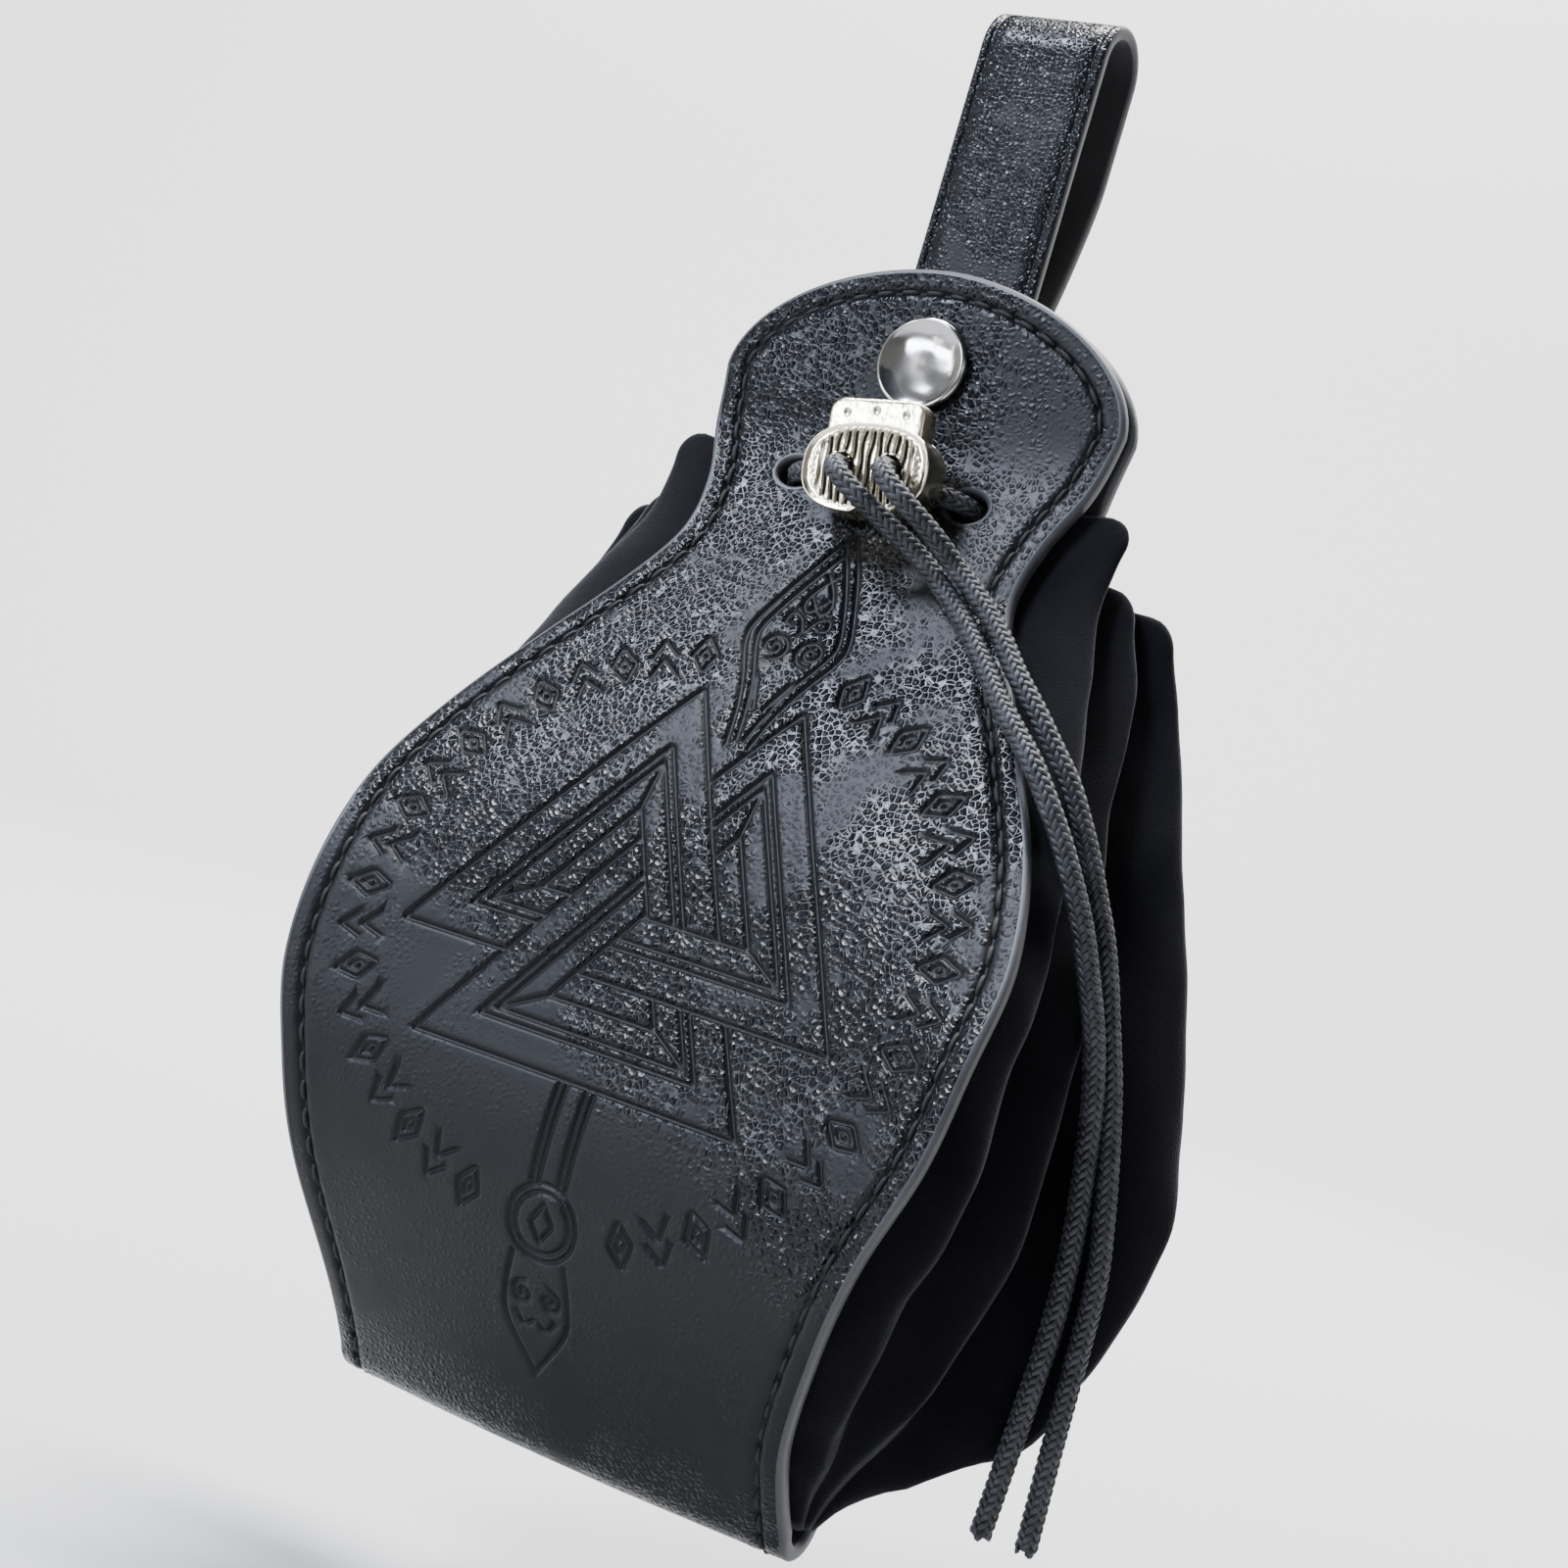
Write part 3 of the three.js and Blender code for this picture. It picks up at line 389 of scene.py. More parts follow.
def old_silver(name):
    """Cast and plated zinc, blackened in its grooves and polished on top."""
    finish, surface = new_finish(name)
    place = add(finish, "TexCoord").outputs["Object"]
    groove = add(finish, "Attribute", {"attribute_name": "groove"})
    patch = add(finish, "TexNoise", Vector=place, Scale=per_metre(1.6), Detail=5.0, Roughness=0.7)
    black = add(finish, "Math", {"operation": "MULTIPLY_ADD"}, in_0=patch.outputs["Fac"],
                in_1=0.9, in_2=groove.outputs["Fac"])
    share = add(finish, "MapRange", Value=black.outputs[0], From_Min=0.48, From_Max=1.25)
    tone = add(finish, "Mix", {"data_type": "RGBA"}, Factor=share.outputs[0],
               in_6=paint("#f0e7ca"), in_7=paint("#1a1712"))
    shine = add(finish, "MapRange", Value=share.outputs[0], To_Min=0.16, To_Max=0.6)
    pits = add(finish, "TexNoise", Vector=place, Scale=per_metre(1.3), Detail=4.0)
    bump = add(finish, "Bump", Strength=0.7, Distance=0.00012, Height=pits.outputs["Fac"])
    feed(finish, surface, Base_Color=tone.outputs[2], Metallic=1.0, Roughness=shine.outputs[0],
         Normal=bump.outputs["Normal"])
    return finish


nickel = bright_nickel("bright_nickel_plate")
silver = old_silver("old_silver_cast_zinc")

# %% [markdown]
# ## Cords
# One waxed cord, 3.2 mm thick, gathers the mouth. Its hidden run goes through two slots in the
# front leather, its two ends come forward through the cord lock, turn down over the panel's
# shoulder and hang at the right side, where they end bare, with strands of slightly uneven length.
# The braid is real: eight strands wind one way and eight the other, and each passes over two and
# under two, which gives the herringbone look. The routes are the same points as in the solids, in
# metres.

# %% Cord routes
CORD = 0.0032
HIDDEN_RUN = [
    (0.006, -0.0245, -0.0789), (0.006, -0.0223, -0.0789), (0.0072, -0.02, -0.0791),
    (0.0098, -0.0194, -0.0794), (0.0126, -0.0191, -0.0797), (0.015, -0.0172, -0.0802),
    (0.0159, -0.0148, -0.081), (0.017, -0.0126, -0.0826), (0.0176, -0.0108, -0.0852),
    (0.0146, -0.0099, -0.0877), (0.0072, -0.0097, -0.089), (0, -0.0097, -0.0892),
    (-0.0072, -0.0097, -0.089), (-0.0146, -0.0099, -0.0877), (-0.0176, -0.0108, -0.0852),
    (-0.017, -0.0126, -0.0828), (-0.0159, -0.0148, -0.0812), (-0.015, -0.0172, -0.0804),
    (-0.0126, -0.0191, -0.0801), (-0.0084, -0.0196, -0.0799), (-0.0044, -0.0197, -0.0799),
    (-0.0024, -0.0207, -0.0799), (-0.0018, -0.0226, -0.0799), (-0.0018, -0.0245, -0.0799),
]
LEFT_END = [
    (-0.0018, -0.0249, -0.0799), (-0.0018, -0.0287, -0.0799), (-0.0009, -0.032, -0.0805),
    (0.0014, -0.0342, -0.082), (0.0043, -0.0343, -0.0839), (0.0096, -0.0306, -0.0873),
    (0.0144, -0.0272, -0.0904), (0.02, -0.0269, -0.0946), (0.0255, -0.0288, -0.0988),
    (0.031, -0.0311, -0.1038), (0.0353, -0.0332, -0.108), (0.04, -0.0352, -0.112),
    (0.0448, -0.0367, -0.1162), (0.0483, -0.0369, -0.1204), (0.0513, -0.036, -0.1248),
    (0.0545, -0.0346, -0.1305), (0.057, -0.0324, -0.1363), (0.0592, -0.0305, -0.1427),
    (0.0614, -0.0284, -0.15), (0.0629, -0.0263, -0.1582), (0.064, -0.0251, -0.1668),
    (0.0651, -0.0248, -0.1755), (0.0657, -0.0248, -0.1835), (0.0658, -0.0248, -0.1915),
    (0.0654, -0.0248, -0.2), (0.065, -0.0248, -0.207), (0.0646, -0.0248, -0.214),
    (0.0643, -0.0248, -0.2195),
]
RIGHT_END = [
    (0.006, -0.0249, -0.0789), (0.006, -0.0287, -0.0789), (0.0068, -0.032, -0.0795),
    (0.0091, -0.0342, -0.0812), (0.0119, -0.0343, -0.0833), (0.0169, -0.0306, -0.0872),
    (0.021, -0.0272, -0.091), (0.0264, -0.0276, -0.095), (0.0318, -0.0294, -0.0996),
    (0.0364, -0.0312, -0.1042), (0.0408, -0.0319, -0.1084), (0.045, -0.0317, -0.113),
    (0.0486, -0.0311, -0.1172), (0.0513, -0.0303, -0.1216), (0.0537, -0.0292, -0.1262),
    (0.0561, -0.0281, -0.1315), (0.0582, -0.0271, -0.1363), (0.0601, -0.026, -0.1419),
    (0.0616, -0.0249, -0.1474), (0.0638, -0.0235, -0.1552), (0.066, -0.0227, -0.1644),
    (0.0679, -0.0226, -0.173), (0.0694, -0.0227, -0.1814), (0.0696, -0.0223, -0.1899),
    (0.0697, -0.0221, -0.198), (0.0698, -0.022, -0.206), (0.07, -0.022, -0.213),
    (0.0702, -0.022, -0.2198),
]

# %% Braid along a route
STRANDS = 8
BRAID_LEAD = 0.0105
STRAND_RISE, STRAND_HALF_WIDTH, STRAND_HALF_HEIGHT = 0.00022, 0.00047, 0.00028
BRAID_MIDDLE = CORD / 2 - STRAND_HALF_HEIGHT - STRAND_RISE * 0.6
END_RAGGED, END_ZONE = 0.0004, 0.002
SPLINE_STEPS = 24


def smooth_route(points, step):
    """Centripetal spline through the points, resampled at equal steps."""
    p = np.asarray(points, float)
    p = np.vstack([2 * p[0] - p[1], p, 2 * p[-1] - p[-2]])
    out = []
    for k in range(1, len(p) - 2):
        a, b, c, d = p[k - 1:k + 3]
        ta = 0.0
        tb = ta + np.linalg.norm(b - a) ** 0.5
        tc = tb + np.linalg.norm(c - b) ** 0.5
        td = tc + np.linalg.norm(d - c) ** 0.5
        t = np.linspace(tb, tc, SPLINE_STEPS, endpoint=False)[:, None]
        ab = (tb - t) / (tb - ta) * a + (t - ta) / (tb - ta) * b
        bc = (tc - t) / (tc - tb) * b + (t - tb) / (tc - tb) * c
        cd = (td - t) / (td - tc) * c + (t - tc) / (td - tc) * d
        left = (tc - t) / (tc - ta) * ab + (t - ta) / (tc - ta) * bc
        right = (td - t) / (td - tb) * bc + (t - tb) / (td - tb) * cd
        out.append((tc - t) / (tc - tb) * left + (t - tb) / (tc - tb) * right)
    line = np.vstack([*out, p[-2][None]])
    length = way_along(line)[-1]
    return at_way(line, np.linspace(0, length, max(2, int(round(length / step)) + 1))), length


def carried_frames(line):
    """Direction of a line and two normals that are carried along it without twist."""
    ahead = unit(np.gradient(line, axis=0))
    side = np.zeros_like(line)
    side[0] = unit(np.cross(ahead[0], (0.3, 0.9, 0.2)))
    for k in range(1, len(line)):
        side[k] = unit(side[k - 1] - ahead[k] * np.dot(side[k - 1], ahead[k]))
    return ahead, side, np.cross(ahead, side)


def braid(name, route, step, solids, sides=6):
    """Two-over-two braid of sixteen strands round a route."""
    line, length = smooth_route(route, step)
    ahead, side, other = carried_frames(line)
    way = np.linspace(0, length, len(line))
    around = 2 * math.pi * np.arange(sides) / sides
    points, faces = [], []
    for direction in (1, -1):
        for strand in range(STRANDS):
            k = 2 * STRANDS * way / BRAID_LEAD
            turn = 2 * math.pi * (strand / STRANDS + direction * way / BRAID_LEAD)
            beat = direction * math.pi * (2 * strand + direction * k - 0.5) / 2
            radius = BRAID_MIDDLE + direction * STRAND_RISE * np.cos(beat)
            out = np.cos(turn)[:, None] * side + np.sin(turn)[:, None] * other
            spot = line + out * radius[:, None]
            across = np.cross(unit(np.gradient(spot, axis=0)), out)
            ragged = END_RAGGED * math.sin(strand * 2.4 + direction)
            near_end = np.clip((way - length) / END_ZONE + 1, 0, 1)
            spot = spot + ahead * (near_end * ragged)[:, None]
            tube = (spot[:, None]
                    + across[:, None] * (STRAND_HALF_WIDTH * np.cos(around))[None, :, None]
                    + out[:, None] * (STRAND_HALF_HEIGHT * np.sin(around))[None, :, None])
            faces += tube_faces(len(line), sides, len(points) * len(line) * sides)
            points.append(tube.reshape(-1, 3))
    piece = make_piece(name, np.vstack(points), faces, [cord_yarn], solid=solids)
    print(name, "is", round(length * 1000, 1), "mm long")
    return piece, line, length


# %% Braid the three runs
braid("drawcord_braid", HIDDEN_RUN, 0.0006, ["drawcord"], sides=5)
left_cord, left_line, left_length = braid("cord_end_left_braid", LEFT_END, 0.00042,
                                          ["cord_end_left"])
right_cord, right_line, right_length = braid("cord_end_right_braid", RIGHT_END, 0.00042,
                                             ["cord_end_right"])

# %% [markdown]
# ## Shape of the leather strip
# One strip of leather makes the front, the fold under the pouch and the back. It is described as a
# flat strip: x runs across it and s runs along its middle from the top of the front head to the top
# of the back head. Tables give its half width, its lean from upright and its dish at each place, as
# on the drawing of the solids, so that the skin lies on them.

# %% Sizes and tables of the strip
PANEL_LENGTH, PANEL_HALF_WIDTH = 200.0, 55.2
HEAD_HALF_WIDTH, HEAD_HEIGHT, HEAD_ROUNDNESS = 34.8, 20.7, 1.85
THICK = 2.6
FOLD_RADIUS, FOLD_EXIT_LEAN, BACK_SWELL = 8.0, 28.0, 8.2
HEAD_FRONT_Y, HEAD_BACK_Y, HEAD_TOP_Z = -14.95, -7.75, -44.3
HEAD_STEPS, PANEL_STEPS, FOLD_STEPS, BACK_STEPS = 84, 700, 40, 600
PANEL_ROWS = np.array([
    # down, half, lean, dish
    (0, 0.6304, 0, 0), (0.052, 0.598, 14, 0), (0.108, 0.536, 20, 0), (0.163, 0.524, 24, 0),
    (0.219, 0.596, 25.5, 0), (0.303, 0.752, 26, 0), (0.386, 0.899, 22.5, 0.006),
    (0.47, 0.993, 17, 0.047), (0.554, 1, 15, 0.085), (0.637, 0.975, 13, 0.067),
    (0.721, 0.889, -3, 0.036), (0.805, 0.815, -22, 0.011), (0.888, 0.745, -29, -0.018),
    (0.944, 0.728, -31, -0.045), (1, 0.732, -32, -0.07),
])
BACK_ROWS = np.array([
    # up, way to the head's plane, swell
    (0, 0, 0), (0.069, 0.36, 0.09), (0.162, 0.72, 0.38), (0.256, 0.9, 0.65), (0.349, 0.98, 0.87),
    (0.443, 1, 0.98), (0.537, 1, 1), (0.661, 1, 0.83), (0.755, 1, 0.7), (0.848, 1, 0.5),
    (0.911, 1, 0.3), (0.955, 1, 0.02), (1, 1, 0),
])


def smooth_column(table, column, at):
    """Smooth value of one column of a table, at any places of its first column."""
    key, value = table[:, 0], table[:, column]
    last = len(key) - 1
    row = np.arange(last + 1)
    before, after = np.maximum(row - 1, 0), np.minimum(row + 1, last)
    slope = (value[after] - value[before]) / (key[after] - key[before])
    at = np.clip(np.asarray(at, float), key[0], key[-1])
    k = np.clip(np.searchsorted(key, at, side="left") - 1, 0, last - 1)
    span = key[k + 1] - key[k]
    t = (at - key[k]) / span
    rise = t * t * (3 - 2 * t)
    return (value[k] * (1 - rise) + value[k + 1] * rise
            + span * (t * (1 - t) ** 2 * slope[k] + t * t * (t - 1) * slope[k + 1]))


# %% Middle line of the strip
def head_half(down):
    """Half width of the rounded head at a distance below its top."""
    share = np.clip(1 - np.asarray(down, float) / HEAD_HEIGHT, 0, 1)
    return HEAD_HALF_WIDTH * np.clip(1 - share ** HEAD_ROUNDNESS, 0, 1) ** (1 / HEAD_ROUNDNESS)


def strip_line():
    """Rows of s, y, z, direction in degrees, half width and dish along the strip, in mm."""
    rows = [(s, HEAD_FRONT_Y, HEAD_TOP_Z - s, -90.0, head_half(s), 0.0)
            for s in np.linspace(0, HEAD_HEIGHT, HEAD_STEPS)]
    run = PANEL_LENGTH - HEAD_HEIGHT
    share = 1 - FOLD_RADIUS / 2 / run
    down = np.linspace(0, share, PANEL_STEPS + 1)
    step = run * share / PANEL_STEPS
    lean = np.radians(smooth_column(PANEL_ROWS, 2, (down[1:] + down[:-1]) / 2))
    y = HEAD_FRONT_Y - np.cumsum(np.sin(lean)) * step
    z = HEAD_TOP_Z - HEAD_HEIGHT - np.cumsum(np.cos(lean)) * step
    s = HEAD_HEIGHT + np.arange(1, PANEL_STEPS + 1) * step
    along = -90 - smooth_column(PANEL_ROWS, 2, down[1:])
    half = smooth_column(PANEL_ROWS, 1, down[1:]) * PANEL_HALF_WIDTH
    dish = smooth_column(PANEL_ROWS, 3, down[1:]) * PANEL_HALF_WIDTH
    rows += list(zip(s, y, z, along, half, dish))
    front = np.array(rows)
    start, turn_to = rows[-1], 90 - FOLD_EXIT_LEAN
    middle = (start[1] - math.sin(math.radians(start[3])) * FOLD_RADIUS,
              start[2] + math.cos(math.radians(start[3])) * FOLD_RADIUS)
    for share in np.arange(1, FOLD_STEPS + 1) / FOLD_STEPS:
        along = start[3] + (turn_to - start[3]) * share
        a = math.radians(along)
        rows.append((start[0] + FOLD_RADIUS * math.radians(along - start[3]),
                     middle[0] + math.sin(a) * FOLD_RADIUS, middle[1] - math.cos(a) * FOLD_RADIUS,
                     along, start[4], start[5] * (1 - share)))
    exit_s, exit_y, exit_z = rows[-1][:3]
    rise = HEAD_TOP_Z - HEAD_HEIGHT - exit_z
    up = np.linspace(0, 1, BACK_STEPS + 1)
    y = (exit_y + (HEAD_BACK_Y - exit_y) * smooth_column(BACK_ROWS, 1, up)
         + BACK_SWELL * smooth_column(BACK_ROWS, 2, up))
    z = exit_z + up * rise
    s = exit_s + np.concatenate([[0], np.cumsum(np.hypot(np.diff(y), np.diff(z)))])
    along = 90 - np.degrees(np.arctan(np.gradient(y, z)))
    half = np.interp(-z, -front[HEAD_STEPS - 1:, 2], front[HEAD_STEPS - 1:, 4])
    rows += list(zip(s[1:], y[1:], z[1:], along[1:], half[1:], np.zeros(BACK_STEPS)))
    rows += [(s[-1] + t, HEAD_BACK_Y, HEAD_TOP_Z - HEAD_HEIGHT + t, 90.0,
              head_half(HEAD_HEIGHT - t), 0.0)
             for t in np.linspace(0, HEAD_HEIGHT, HEAD_STEPS)[1:]]
    return np.array(rows)


strip = strip_line()
STRIP_LENGTH = strip[-1, 0]
print("strip is", round(STRIP_LENGTH, 1), "mm long")


def on_strip(x, s, depth):
    """Places in metres of points of the strip; depth goes into the leather from its outer face."""
    x, s, depth = (np.asarray(v, float) for v in (x, s, depth))
    y, z, along, half, dish = (np.interp(s, strip[:, 0], strip[:, k]) for k in range(1, 6))
    a = np.radians(along)
    share = np.clip(x / np.maximum(half, 5), -1, 1)
    return np.stack([x, y - dish * share ** 2 - np.sin(a) * depth, z + np.cos(a) * depth], -1) * MM


# %% [markdown]
# ## Cutting a sheet
# Leather and thin castings are made the same way here. A closed outline, its holes and any points
# inside are joined into triangles in the flat. The front face can then be pressed in as deep as a
# function says, the back face is plain, and a rounded rim joins them. So the points can be crowded
# where there is fine tooling, and kept few where the face is plain.

# %% Flat cutting helpers
FEWEST_POINTS = 8
POINTS_AT_ONCE = 4000


def even_loop(loop, step):
    """Closed line resampled at about equal steps."""
    closed = closed_line(np.asarray(loop, float))
    length = way_along(closed)[-1]
    count = max(FEWEST_POINTS, int(round(length / step)))
    return at_way(closed, np.linspace(0, length, count, endpoint=False))


def loop_normals(loop):
    """Unit normals of a closed line, to the left of its direction."""
    run = unit(np.roll(loop, -1, axis=0) - np.roll(loop, 1, axis=0))
    return np.stack([-run[:, 1], run[:, 0]], 1)


def inside_loops(points, loops):
    """True for the points inside an odd number of closed lines."""
    hit = np.zeros(len(points), bool)
    for loop in loops:
        a, b = loop, np.roll(loop, -1, axis=0)
        for k in range(0, len(points), POINTS_AT_ONCE):
            p = points[k:k + POINTS_AT_ONCE]
            x, y = p[:, :1], p[:, 1:]
            cross = (a[:, 1] > y) != (b[:, 1] > y)
            rise = np.where(b[:, 1] == a[:, 1], 1e-9, b[:, 1] - a[:, 1])
            at = (b[:, 0] - a[:, 0]) * (y - a[:, 1]) / rise + a[:, 0]
            odd = np.sum(cross & (x < at), axis=1) % 2
            hit[k:k + POINTS_AT_ONCE] ^= odd.astype(bool)
    return hit


def thin_out(points, gap):
    """Keeps the first point of each little square."""
    cells = np.floor(np.asarray(points) / gap).astype(int)
    _, first = np.unique(cells, axis=0, return_index=True)
    return np.asarray(points)[np.sort(first)]


def triangulate(loops, points):
    """Triangles between closed lines and the points inside; the lines' points come first."""
    flat = np.vstack([*loops, points])
    edges, at = [], 0
    for loop in loops:
        n = len(loop)
        edges += [(at + k, at + (k + 1) % n) for k in range(n)]
        at += n
    found = delaunay_2d_cdt([Vector(p) for p in flat], edges, [], 0, 1e-6)
    spots, triangles, origin = np.array([tuple(v) for v in found[0]]), found[2], found[3]
    first_of = np.array([o[0] if o else -1 for o in origin])
    faces = np.array(triangles)
    faces = first_of[faces[inside_loops(spots[faces].mean(axis=1), loops)]]
    faces = faces[(faces >= 0).all(axis=1)]
    a, b, c = (flat[faces[:, k]] for k in range(3))
    ab, ac = b - a, c - a
    clockwise = ab[:, 0] * ac[:, 1] - ab[:, 1] * ac[:, 0] < 0
    faces[clockwise] = faces[clockwise][:, ::-1]
    return flat, faces


def cut_sheet(loops, radius, thick, front_points, back_points, press, arc_steps=4):
    """Sheet with rounded rims: flat places, depth, faces and face kinds (0 front, 1 rim, 2 back).

    The first loop runs anticlockwise round the sheet, the holes run clockwise."""
    normals = [loop_normals(loop) for loop in loops]
    inner = [loop + normal * radius for loop, normal in zip(loops, normals)]
    flat, front = triangulate(inner, front_points)
    back_flat, back = triangulate(inner, back_points)
    back_start = len(flat)
    count = back_start + len(back_flat)
    spots = [flat, back_flat]
    depths = [press(flat), np.full(len(back_flat), thick)]
    faces = [front, back[:, ::-1] + back_start]
    kinds = [np.zeros(len(front), int), np.full(len(back), 2)]
    turns = np.linspace(0, math.pi / 2, arc_steps + 1)[1:]
    profile = [(radius * (1 - math.sin(t)), radius * (1 - math.cos(t))) for t in turns]
    profile += [(inset, thick - depth) for inset, depth in profile[::-1]]
    start = 0
    for loop, normal in zip(loops, normals):
        n = len(loop)
        rows = [np.arange(n) + start]
        for inset, depth in profile:
            spots.append(loop + normal * inset)
            depths.append(np.full(n, depth))
            rows.append(np.arange(n) + count)
            count += n
        rows.append(np.arange(n) + start + back_start)
        for a, b in zip(rows, rows[1:]):
            faces.append(np.stack([a, b, np.roll(b, -1), np.roll(a, -1)], 1))
            kinds.append(np.ones(n, int))
        start += n
    faces = [face for part in faces for face in part.tolist()]
    return np.vstack(spots), np.concatenate(depths), faces, np.concatenate(kinds)


# %% Outline of the strip in the flat
def strip_outline():
    """Anticlockwise outline of the flat strip, seen with x to the right and s upward."""
    turn = np.radians(np.linspace(0, 90, 60))
    head = np.stack([HEAD_HALF_WIDTH * np.sin(turn) ** (2 / HEAD_ROUNDNESS),
                     HEAD_HEIGHT * (1 - np.cos(turn) ** (2 / HEAD_ROUNDNESS))], 1)
    s, half = strip[:, 0], strip[:, 4]
    between = (s > HEAD_HEIGHT + 0.5) & (s < STRIP_LENGTH - HEAD_HEIGHT - 0.5)
    side = np.stack([half[between], s[between]], 1)
    top = np.stack([head[::-1, 0], STRIP_LENGTH - head[::-1, 1]], 1)
    right = np.vstack([head, side, top])
    left = right[::-1][1:-1] * (-1, 1)
    return np.vstack([right, left])


outline = even_loop(strip_outline(), 1.5)
print("outline has", len(outline), "points")

# %% [markdown]
# ## Tooled ornament
# The front is tooled with lines about 1 mm wide. In the middle lies an old northern knot: one
# bevelled band runs in six straight stretches round three triangles that overlap. Its three long
# stretches cross, each over the next, so a line is left out where another stretch covers it. A
# leaf-shaped blade stands above the knot, a plain shaft with a ring and a drop below, and a circle
# of lozenges and paired chevrons runs round all of it. Each line is a list of points in the flat.

# %% Line helpers
STROKE_STEP = 0.25


def stroke(points, step=STROKE_STEP):
    """Open line resampled at equal steps."""
    line = np.asarray(points, float)
    length = way_along(line)[-1]
    return at_way(line, np.linspace(0, length, max(3, int(round(length / step)) + 1)))


def soft_curve(points, count=40):
    """Smooth line through a few points."""
    p = np.asarray(points, float)
    t = np.linspace(0, len(p) - 1, count)
    slope = np.gradient(p, axis=0)
    k = np.clip(t.astype(int), 0, len(p) - 2)
    u = (t - k)[:, None]
    rise = u * u * (3 - 2 * u)
    return (p[k] * (1 - rise) + p[k + 1] * rise + u * (1 - u) ** 2 * slope[k]
            + u * u * (u - 1) * slope[k + 1])


def ring(x, s, radius):
    """Circle."""
    t = np.linspace(0, 2 * math.pi, 60)
    return np.stack([x + radius * np.cos(t), s + radius * np.sin(t)], 1)


def spiral(x, s, radius, turns, start, way):
    """Spiral that winds in to its middle."""
    t = np.linspace(0, 1, 60)
    a = start + way * 2 * math.pi * turns * t
    r = radius * (1 - 0.9 * t)
    return np.stack([x + r * np.cos(a), s + r * np.sin(a)], 1)


# %% Interlaced triangle knot
KNOT_MIDDLE = np.array([-1.2, 113.8])
KNOT_SIDE, KNOT_REACH = 54.8, 9.9
BAND_LINES = (0.0, 5.2, 6.6, 10.6)
TOP, RIGHT, LEFT = 0, 1, 2
UPPER_LEFT, UPPER_RIGHT, LOWER = 0, 1, 2


def towards(degrees):
    """Unit direction in the flat."""
    return np.array([math.cos(math.radians(degrees)), math.sin(math.radians(degrees))])


def knot_corner(triangle, tip, inset):
    """Tip of one of the three triangles, moved in from the band's outer contour."""
    middle = KNOT_MIDDLE + KNOT_REACH * towards((-150, -30, 90)[triangle])
    return middle + (KNOT_SIDE / math.sqrt(3) - 2 * inset) * towards((-90, 30, 150)[tip])


# start, end, and the number of the band that passes over it
KNOT_BANDS = [
    ((UPPER_LEFT, LEFT), (UPPER_LEFT, TOP), None), ((UPPER_LEFT, TOP), (LOWER, RIGHT), 5),
    ((LOWER, RIGHT), (LOWER, LEFT), None), ((LOWER, LEFT), (UPPER_RIGHT, TOP), 1),
    ((UPPER_RIGHT, TOP), (UPPER_RIGHT, RIGHT), None), ((UPPER_RIGHT, RIGHT), (UPPER_LEFT, LEFT), 3),
]


def depth_in_band(points, number):
    """How far points lie inside the outer contour of one straight band."""
    start, end, _ = KNOT_BANDS[number]
    a, b = knot_corner(*start, 0), knot_corner(*end, 0)
    run = unit(b - a)
    return (points[:, 1] - a[1]) * run[0] - (points[:, 0] - a[0]) * run[1]


COVER_MARGIN = 0.25
NEVER_COVERED = -9.0
FEWEST_LINE_POINTS = 5
strokes = []
for start, end, over in KNOT_BANDS:
    for inset in BAND_LINES:
        line = stroke([knot_corner(*start, inset), knot_corner(*end, inset)])
        depth = np.full(len(line), NEVER_COVERED) if over is None else depth_in_band(line, over)
        shown = (depth < -COVER_MARGIN) | (depth > BAND_LINES[-1] + COVER_MARGIN)
        cuts = np.flatnonzero(np.diff(shown.astype(int))) + 1
        strokes += [part for part, seen in zip(np.split(line, cuts), np.split(shown, cuts))
                    if seen[0] and len(part) >= FEWEST_LINE_POINTS]
    strokes.append(stroke([knot_corner(*start, inset) for inset in BAND_LINES[2:]]))
print("knot:", len(strokes), "lines")

# %% Blade, shaft, ring and drop
KNOT_FOOT = knot_corner(LOWER, LEFT, 0)[1]
BLADE = [(0, 44.5), (2.9, 50.3), (5.7, 56.8), (8.2, 63.8), (7.9, 67.6), (5.2, 73.4), (3.2, 79),
         (1.9, 85)]
BLADE_LINING = [(0, 48.6), (2.2, 53), (4.6, 58.4), (6.6, 64.1), (6.2, 67.2), (3.8, 72.6),
                (2.1, 77.6), (0.6, 84)]
BLADE_ARCS = [[(0.2, 63.6), (1.4, 61.2), (3.2, 60.6), (3.6, 62.4), (2.3, 62.9)],
              [(-0.9, 52.6), (1.2, 55.6), (2.2, 58.4), (0.9, 60.0), (-1.3, 57.4)]]
SHAFT_LINES = [[(2.9, 73.0), (0.8, 78.4)], [(2.9, KNOT_FOOT), (2.9, 153.9)],
               [(1.7, KNOT_FOOT), (1.7, 153.7)]]
DROP = [(4.4, 165.2), (5.3, 170.5), (5.0, 176), (0, 184)]
DROP_ARC = [(0.2, 175.2), (1.9, 176.3), (3.2, 174.8)]
RING_AT, RING_RADII = 159.7, (5.7, 4.5)
RING_LOZENGE = [(0, 156.9), (1.9, 159.7), (0, 162.5), (-1.9, 159.7), (0, 156.9)]
